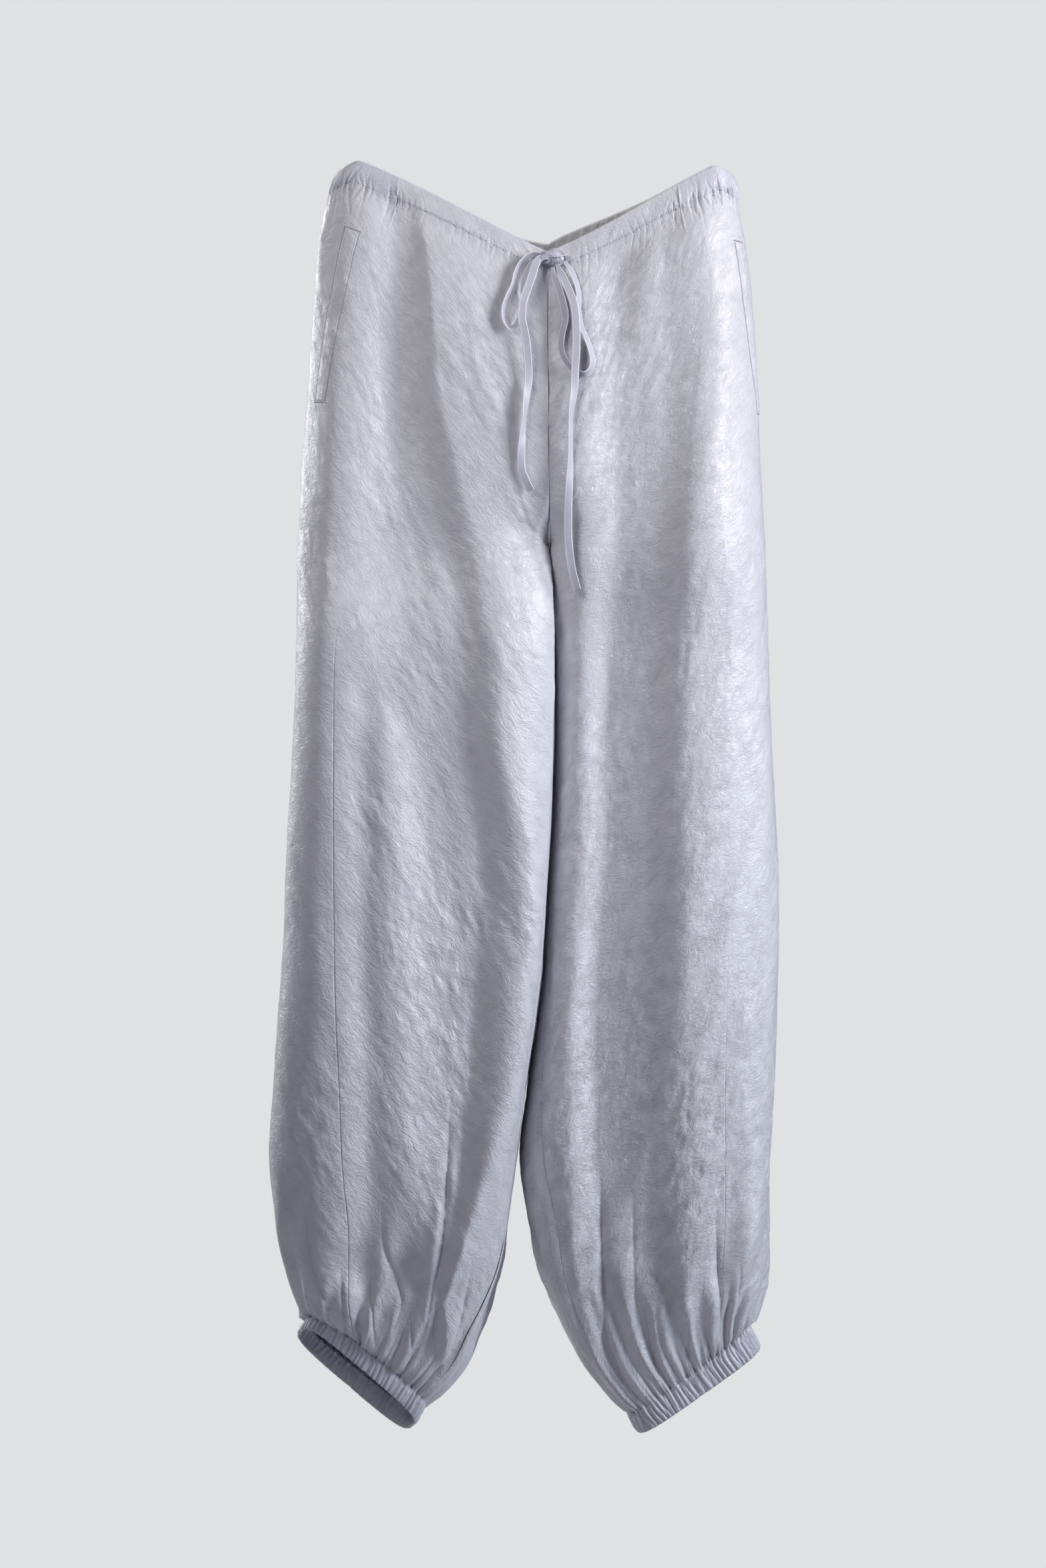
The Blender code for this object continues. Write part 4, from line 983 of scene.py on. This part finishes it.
def cuff(leg, material):
    """The elastic cuff as a closed ring."""
    profile = band_profile(CUFF_SEAM, CUFF_HEM, CUFF_CLOTH, CUFF_ROWS)
    places, lengths = row_lengths(leg, (CUFF_SEAM + CUFF_HEM) / 2)
    around = np.interp(np.linspace(0, lengths[-1], CUFF_COLUMNS, endpoint=False), lengths, places)
    rings = band_points(leg, around, profile, cuff_band_relief)
    return band_mesh(f"cuff_{leg.name}_band", rings, CUFF_UV_PITCH, material, ring=True)


def welt_around(leg, down, share):
    """Place around on a pocket welt: share 0 is on its front edge and 1 on its back edge."""
    rows, front_edge, back_edge = np.array(WELTS[leg.name]).T
    front, back = np.interp(down, rows, front_edge), np.interp(down, rows, back_edge)
    return front + (back - front) * share


def welt(leg, material):
    """A pocket welt: a folded strip with rolled edges and a stitch line along both sides."""
    top, low = WELTS[leg.name][0][0], WELTS[leg.name][-1][0]
    run = np.linspace(0, low - top, int((low - top) / WELT_PITCH))
    share = np.linspace(0, 1, WELT_COLUMNS)
    place_down = np.broadcast_to((top + run)[:, None], (len(run), len(share)))
    side = np.minimum(share, 1 - share) * WELT_WIDTH + 0 * place_down
    edge = np.minimum(side, np.minimum(run, low - top - run)[:, None])
    lift = WELT_HEIGHT * (1 - np.exp(-edge / WELT_ROLL)) - 0.2 - 0.35 * bell(side - 1.9, 0.4)
    lift += 0.25 * noise(run[:, None] / 7, share * 2, 230 + leg.side, 2) * smooth(edge / 2)
    surface = raised(leg, welt_around(leg, place_down, share), place_down, cloth_relief, lift)[0]
    uv = np.stack([share * WELT_WIDTH + 0 * place_down, place_down], axis=-1)
    faces = grid_faces(*place_down.shape)
    return add_mesh(f"pocket_welt_{leg.name}_cloth", surface, faces, uv, material, flip=leg.side < 0)


def welt_threads_and_painted_shade(leg):
    """Thread along both edges of a pocket welt, and the bar tacks across its ends. The dark thread also
    paints the shade of the grooves along the welt's edges.
    """
    top, low = WELTS[leg.name][0][0], WELTS[leg.name][-1][0]
    run = top + np.linspace(0.4, low - top - 0.4, int((low - top) / 2.4))
    tubes = []
    for share in (-0.03, 1.03):
        points, normals, _ = raised(leg, welt_around(leg, run, share), run, cloth_relief, 0.1)
        tubes += stitch_tubes(points, normals, WELT_STITCH, *WELT_THREAD[leg.name])
    shares = np.linspace(-0.12, 1.12, 9)
    for end, past in ((top, -BAR_TACK_PAST), (low, BAR_TACK_PAST)):
        around = welt_around(leg, end, shares)
        points, normals, _ = raised(leg, around, np.full(len(shares), end + past), cloth_relief, 0.15)
        tubes += stitch_tubes(points, normals, *BAR_TACK)
    return tubes


def band_stitches(leg, down):
    """Stitches along the front of the waistband, at a distance down."""
    around = np.linspace(0, 1, 4001)
    lift = BAND_CLOTH / 2
    row, normals, _ = raised(leg, around, np.full_like(around, down), front_band_relief, lift)
    run = lengths_to(row)
    picks = np.searchsorted(run, np.arange(2.0, run[-1], STITCH_PITCH))
    return stitch_tubes(row[picks], normals[picks], *BAND_THREAD)


def stitch_tubes(points, normals, length, width, height):
    """Short threads, each from one point of a row towards the next."""
    turn = np.linspace(0, 2 * math.pi, 6, endpoint=False)
    reach = np.array([-0.5, -0.42, 0.42, 0.5])[:, None] * length
    girth = np.array([0.35, 1.0, 1.0, 0.35])[:, None]
    uv = np.stack(np.broadcast_arrays(turn, reach), axis=-1)
    tubes = []
    for first, last, normal in zip(points, points[1:], normals):
        if np.linalg.norm(last - first) < 1e-6:
            continue
        along = unit(last - first)
        across = np.cross(normal, along) * (np.cos(turn) * width / 2 * girth)[..., None]
        upward = normal * (np.sin(turn) * height * girth)[..., None]
        tubes.append(((first + last) / 2 + along * reach[..., None] + across + upward, uv))
    return tubes


def curve_through(points, step):
    """Points about a step apart on a smooth curve through the rows of an array."""
    ends = np.vstack([2 * points[0] - points[1], points, 2 * points[-1] - points[-2]])
    samples = []
    for k in range(1, len(ends) - 2):
        p0, p1, p2, p3 = ends[k - 1 : k + 3]
        count = max(1, round(np.linalg.norm((p2 - p1)[:3]) / step))
        t = np.linspace(0, 1, count, endpoint=False)[:, None]
        bend = (2 * p0 - 5 * p1 + 4 * p2 - p3) * t**2 / 2 + (3 * p1 - p0 - 3 * p2 + p3) * t**3 / 2
        samples.append(p1 + (p2 - p0) * t / 2 + bend)
    return np.vstack([*samples, points[-1]])


def tape_rings(route, full_width, roots, seed):
    """Middle line, rings and UV places of a flat tape with a rolled edge on each side."""
    samples = curve_through(np.array(route, dtype=float), TAPE_PITCH)
    centres, twists = samples[:, :3], np.radians(samples[:, 3])[:, None]
    tangents = unit(np.gradient(centres, axis=0))
    length = lengths_to(centres)
    reach = length if roots == 1 else np.minimum(length, length[-1] - length)
    width = TAPE_ROOT_WIDTH + (1 - TAPE_ROOT_WIDTH) * smooth(reach / TAPE_ROOT_LENGTH)
    flat = unit(np.cross(tangents, (0, -1, 0)))
    wide = flat * np.cos(twists) + np.cross(flat, tangents) * np.sin(twists)
    thick = np.cross(wide, tangents)
    turn = np.linspace(0, 2 * math.pi, 32, endpoint=False)
    across = fuller(np.cos(turn), 0.55)
    high = fuller(np.sin(turn), 0.6) * (TAPE_CORE + TAPE_EDGE * bell(np.abs(across) - 0.85, 0.1))
    cup = 0.35 * drift(length / 14, seed)[:, None] * (1 - across**2)
    half = full_width / 2 * width[:, None] * (1 + 0.03 * drift(length / 5, seed + 1)[:, None])
    rings = centres[:, None] + wide[:, None] * (half * across)[..., None]
    rings += thick[:, None] * (high + cup)[..., None]
    uv = np.stack(np.broadcast_arrays(across * full_width / 2, length[:, None]), axis=-1)
    return centres, rings, uv


def add_tubes(name, tubes, material):
    """One object from closed tubes of rings and UV places, with a fan of faces over each end."""
    points, places, faces, start = [], [], [], 0
    for rings, uv in tubes:
        rows, columns = rings.shape[:2]
        last, tip = (rows - 1) * columns, np.full(columns, rows * columns)
        here, after = np.arange(columns), (np.arange(columns) + 1) % columns
        first_fan = np.stack([after, here, tip], axis=-1)
        last_fan = np.stack([last + here, last + after, tip + 1], axis=-1)
        for part in (grid_faces(rows, columns, closed=True), first_fan, last_fan):
            faces += (part + start).tolist()
        flat_uv = uv.reshape(-1, 2)
        points += [rings.reshape(-1, 3), rings[[0, -1]].mean(axis=1)]
        places += [flat_uv, flat_uv[[0, last]]]
        start += rows * columns + 2
    return add_mesh(name, np.concatenate(points), faces, np.concatenate(places), material)


def knot(material):
    """The tied knot: a soft core with the strands of the tape that cross over it."""
    centre, radii = (np.array(row, float) for row in KNOT_CORE)
    polar = np.linspace(0.08, math.pi - 0.08, 22)[:, None]
    turn = np.linspace(0, 2 * math.pi, 40, endpoint=False)
    ball = np.stack([
        np.cos(polar) + 0 * turn, np.sin(polar) * np.cos(turn), np.sin(polar) * np.sin(turn)
    ], axis=-1)
    dents = 1 + 0.08 * noise(ball[..., 0] * 2 + 3, ball[..., 2] * 5, 260, 2)
    uv = np.stack(np.broadcast_arrays(turn * 3, polar * 6), axis=-1)
    tubes = [(centre + radii * ball * dents[..., None], uv)]
    tubes += [tape_rings(rows, width, 1, 270 + k)[1:] for k, (width, rows) in enumerate(KNOT_STRANDS)]
    return add_tubes("drawstring_knot_tied", tubes, material)


class Nodes:
    """A short way to write a tree of nodes."""

    def __init__(self, owner):
        owner.use_nodes = True
        self.tree = owner.node_tree

    def plug(self, node, socket, value):
        """Link an output to a socket, or set the socket's own value."""
        if isinstance(value, bpy.types.NodeSocket):
            self.tree.links.new(value, node.inputs[socket])
        else:
            node.inputs[socket].default_value = value

    def fill(self, node, **settings):
        """Give a node its properties and its sockets' values or links, by name."""
        for key, value in settings.items():
            if hasattr(node, key):
                setattr(node, key, value)
            else:
                self.plug(node, key.replace("_", " "), value)
        return node

    def add(self, kind, **settings):
        """A new node with its settings."""
        return self.fill(self.tree.nodes.new(f"ShaderNode{kind}"), **settings)

    def shade(self, **settings):
        """Fill the material's shader."""
        self.fill(self.tree.nodes["Principled BSDF"], **settings)

    def join(self, kind, *values, **settings):
        """A new node whose sockets are filled in their order."""
        node = self.add(kind, **settings)
        for socket, value in enumerate(values):
            self.plug(node, socket, value)
        return node.outputs[0]

    def maths(self, operation, a, b=0.5):
        """A maths node's result."""
        return self.join("Math", a, b, operation=operation)

    def total(self, *parts):
        """The sum of values, each with its weight."""
        result = None
        for value, weight in parts:
            scaled = value if weight == 1 else self.maths("MULTIPLY", value, weight)
            result = scaled if result is None else self.maths("ADD", result, scaled)
        return result

    def mix(self, factor, first, last):
        """A colour between two colours."""
        node = self.add("Mix", data_type="RGBA", Factor=factor)
        node.inputs[6].default_value, node.inputs[7].default_value = (*first, 1), (*last, 1)
        return node.outputs[2]

    def span(self, value, low, high, first=0.0, last=1.0, curve="SMOOTHSTEP"):
        """A value between two bounds, drawn out to run from first to last."""
        return self.add(
            "MapRange", interpolation_type=curve, Value=value, From_Min=low, From_Max=high,
            To_Min=first, To_Max=last,
        ).outputs[0]

    def stretched_noise(self, vector, angle, width, length, detail=2.0, distortion=0.0):
        """Noise drawn out along a direction: width and length in metres, angle in degrees."""
        place = self.add(
            "Mapping", vector_type="TEXTURE", Vector=vector, Rotation=(0, 0, math.radians(angle)),
            Scale=(width, length, 1),
        ).outputs[0]
        return self.add(
            "TexNoise", noise_dimensions="2D", Vector=place, Scale=1.0, Detail=detail,
            Distortion=distortion,
        ).outputs[0]

    def wisps(self, vector, angle, width, length):
        """Thin curved ridges that run along a direction, between 0 and 1."""
        texture = self.stretched_noise(vector, angle, width, length, 1.0)
        away = self.maths("ABSOLUTE", self.maths("SUBTRACT", texture, 0.5))
        return self.span(away, 0.0, 0.07, 1.0, 0.0)

    def ribs(self, vector, direction, scale):
        """Even ribs along a direction."""
        return self.add(
            "TexWave", wave_type="BANDS", bands_direction=direction, Vector=vector, Scale=scale
        ).outputs[1]

    def bump(self, height, strength, distance, **settings):
        """A bumped normal."""
        return self.add("Bump", Height=height, Strength=strength, Distance=distance, **settings).outputs[0]


def cloth_nodes(name):
    """A new material, its nodes and the place on the cloth."""
    material = bpy.data.materials.new(name)
    nodes = Nodes(material)
    return material, nodes, nodes.add("UVMap", uv_map="cloth").outputs[0]


def satin_material(name, dark, light, crinkle):
    """Crinkled satin: fine slanting creases in patches, a fine weave and a soft sheen."""
    material, nodes, uv = cloth_nodes(name)
    bend = nodes.add("TexNoise", noise_dimensions="2D", Vector=uv, Scale=60.0, Detail=1.0).outputs[1]
    shift = nodes.add("VectorMath", operation="SCALE", Vector=bend, Scale=0.009).outputs[0]
    place = nodes.join("VectorMath", uv, shift, operation="ADD")
    level = nodes.add("SeparateXYZ", Vector=uv).outputs[1]
    low = nodes.span(level, 0.45, 0.85)
    high = nodes.maths("SUBTRACT", 1.0, low)
    upper = nodes.maths("MULTIPLY", nodes.wisps(place, 38, 0.0021, 0.0075), high)
    lower = nodes.maths("MULTIPLY", nodes.wisps(place, 88, 0.0016, 0.006), low)
    wisps = nodes.total((upper, 1), (lower, 1), (nodes.wisps(place, 64, 0.0017, 0.0058), 0.8))
    patch = nodes.span(nodes.stretched_noise(uv, 20, 0.016, 0.03), 0.38, 0.6, 0.3, 1.0)
    broad = nodes.stretched_noise(place, 42, 0.0046, 0.013, distortion=0.4)
    fine = nodes.stretched_noise(place, 50, 0.0013, 0.0036)
    relief = nodes.total((nodes.maths("MULTIPLY", wisps, patch), 0.2), (broad, 0.9), (fine, 0.55))
    crinkled = nodes.bump(relief, nodes.span(level, 0.4, 0.9, 0.62, 0.95), CRINKLE_DEPTH * crinkle)
    weave = nodes.maths("MULTIPLY", nodes.ribs(uv, "X", 420.0), nodes.ribs(uv, "Y", 300.0))
    tone = nodes.stretched_noise(uv, -30, 0.012, 0.04, 3.0)
    nodes.shade(
        Base_Color=nodes.mix(tone, dark, light), Normal=nodes.bump(weave, 0.12, 0.0001, Normal=crinkled),
        Roughness=0.4, Specular_IOR_Level=0.55, Sheen_Weight=0.25, Sheen_Roughness=0.35,
    )
    return material


def tape_material(name, colour, edge):
    """Narrow satin tape: fine ribs across, and a painted highlight in a lighter colour along its rolled
    edges.
    """
    material, nodes, uv = cloth_nodes(name)
    away = nodes.maths("ABSOLUTE", nodes.add("SeparateXYZ", Vector=uv).outputs[0])
    # Painted highlight: the colour turns lighter towards the tape's rolled edges
    rim = nodes.span(away, 0.0024, 0.0029, curve="LINEAR")
    weave = nodes.total((nodes.ribs(uv, "Y", 260.0), 0.4), (nodes.stretched_noise(uv, 0, 0.0004, 0.004), 1))
    nodes.shade(
        Base_Color=nodes.mix(rim, colour, edge), Normal=nodes.bump(weave, 0.25, 0.0002),
        Roughness=0.42, Sheen_Weight=0.2,
    )
    return material


def thread_material(name, colour):
    """Sewing thread with a fine twist, in a dark colour that is partly the thread's own and partly painted
    shade of the seams it lines.
    """
    material, nodes, uv = cloth_nodes(name)
    twist = nodes.ribs(uv, "DIAGONAL", 900.0)
    nodes.shade(Base_Color=(*colour, 1), Normal=nodes.bump(twist, 0.3, 0.0001), Roughness=0.6)
    return material


def add_camera():
    """A frontal camera that holds the photograph's frame."""
    data = bpy.data.cameras.new("camera")
    data.sensor_fit = "VERTICAL"
    data.sensor_height = SENSOR
    data.lens = SENSOR * CAMERA_AWAY / FRAME_HEIGHT
    data.clip_end = 40
    camera = bpy.data.objects.new("camera", data)
    camera.location = (FRAME_CENTRE[0], -CAMERA_AWAY, FRAME_CENTRE[1])
    camera.rotation_euler = (math.pi / 2, 0, 0)
    bpy.context.scene.collection.objects.link(camera)
    bpy.context.scene.camera = camera


def add_light(name, place, target, width, height, power, colour, spread):
    """A soft rectangular light that looks at a target. Its beam spreads over the given angle."""
    data = bpy.data.lights.new(name, "AREA")
    data.shape = "RECTANGLE"
    data.size, data.size_y = width, height
    data.energy = power
    data.color = colour
    data.spread = math.radians(spread)
    light = bpy.data.objects.new(name, data)
    light.location = place
    x, y, z = np.array(target, float) - np.array(place, float)
    pitch = math.atan2(z, math.hypot(x, y)) + math.pi / 2
    light.rotation_euler = (pitch, 0, math.atan2(y, x) - math.pi / 2)
    bpy.context.scene.collection.objects.link(light)


def add_floor():
    """A pale round floor below the hung garment."""
    turns = np.linspace(0, 2 * math.pi, FLOOR_SIDES, endpoint=False)
    rim = np.stack([np.cos(turns), np.sin(turns), turns * 0], axis=-1) * FLOOR_RADIUS
    points = np.vstack([(0, 0, 0), rim]) + (0, 0, FLOOR_LEVEL)
    faces = [[0, 1 + k, 1 + (k + 1) % FLOOR_SIDES] for k in range(FLOOR_SIDES)]
    material = bpy.data.materials.new("floor")
    Nodes(material).shade(Base_Color=(*FLOOR_COLOUR, 1), Roughness=0.6)
    add_mesh("floor", points / MM, faces, material=material)


def add_world():
    """An even backdrop that the camera sees, and a faint light from all round, bluer from below."""
    world = bpy.data.worlds.new("studio")
    bpy.context.scene.world = world
    nodes = Nodes(world)
    nodes.tree.nodes.clear()
    place = nodes.add("TexCoord").outputs["Generated"]
    level = nodes.add("SeparateXYZ", Vector=place).outputs["Z"]
    height = nodes.span(level, -0.7, 0.7, curve="LINEAR")
    ambient = nodes.add("Background", Color=nodes.mix(height, AMBIENT_LOW, AMBIENT_HIGH), Strength=1.0)
    shown = nodes.add("Background", Color=(*BACKDROP, 1), Strength=1.0)
    seen = nodes.add("LightPath").outputs["Is Camera Ray"]
    both = nodes.join("MixShader", seen, ambient.outputs[0], shown.outputs[0])
    nodes.add("OutputWorld", Surface=both)


def wear(piece, node):
    """The piece stands for its node and rides with it, and the node's own part is hidden."""
    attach(piece, "root")
    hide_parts(node)
    return piece


add_camera()
satins = [satin_material(name, *look) for name, look in SATINS.items()]
satin, rough_satin, smooth_satin, gathered, inside_painted_light_satin = satins
tape = tape_material("satin_tape", TAPE_COLOUR, TAPE_EDGE_HIGHLIGHT_COLOUR)
thread = thread_material("sewing_thread", THREAD_AND_SEAM_SHADE_COLOUR)
legs = (Leg("right", -1, RIGHT_SECTIONS), Leg("left", 1, LEFT_SECTIONS))
threads = []
for leg in legs:
    strip = wear(welt(leg, smooth_satin), f"pocket_welt_{leg.name}")
    for panel, kind in enumerate(("front", "side", "back")):
        cloth = smooth_satin if kind == "side" else rough_satin if leg.side > 0 else satin
        piece, width, area = panel_shell(leg, panel, kind, cloth)
        wear(piece, f"{kind}_panel_{leg.name}")
    band = wear(cuff(leg, gathered), f"cuff_{leg.name}")
    # The welt threads' dark colour is partly painted shade of the welt edges
    threads += welt_threads_and_painted_shade(leg)
front_band = waistband("waistband_front_cloth", FRONT_BAND_COLUMNS, front_band_relief, satin)
wear(front_band, "waistband_front")
elastic_band = waistband("waistband_elastic_cloth", ELASTIC_BAND_COLUMNS, elastic_band_relief, gathered)
# Painted light: the elastic band's inner face takes the much lighter satin
paint_light_inside(elastic_band, inside_painted_light_satin)
wear(elastic_band, "waistband_elastic")
for down in STITCH_LINES:
    for leg in legs:
        threads += band_stitches(leg, down)
stitches = add_tubes("seam_stitches", threads, thread)
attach(stitches, "root")

tied = wear(knot(tape), "drawstring_knot")
for number, (name, route) in enumerate(TAPES.items()):
    looped = "loop" in name
    line, rings, places = tape_rings(route, TAPE_WIDTH, 2 if looped else 1, 240 + 3 * number)
    strand = wear(add_tubes(f"{name}_tape", [(rings, places)], tape), name)

add_floor()
add_world()
for name, light in LIGHTS.items():
    add_light(name, *light)
bpy.context.scene.view_settings.view_transform = "Standard"
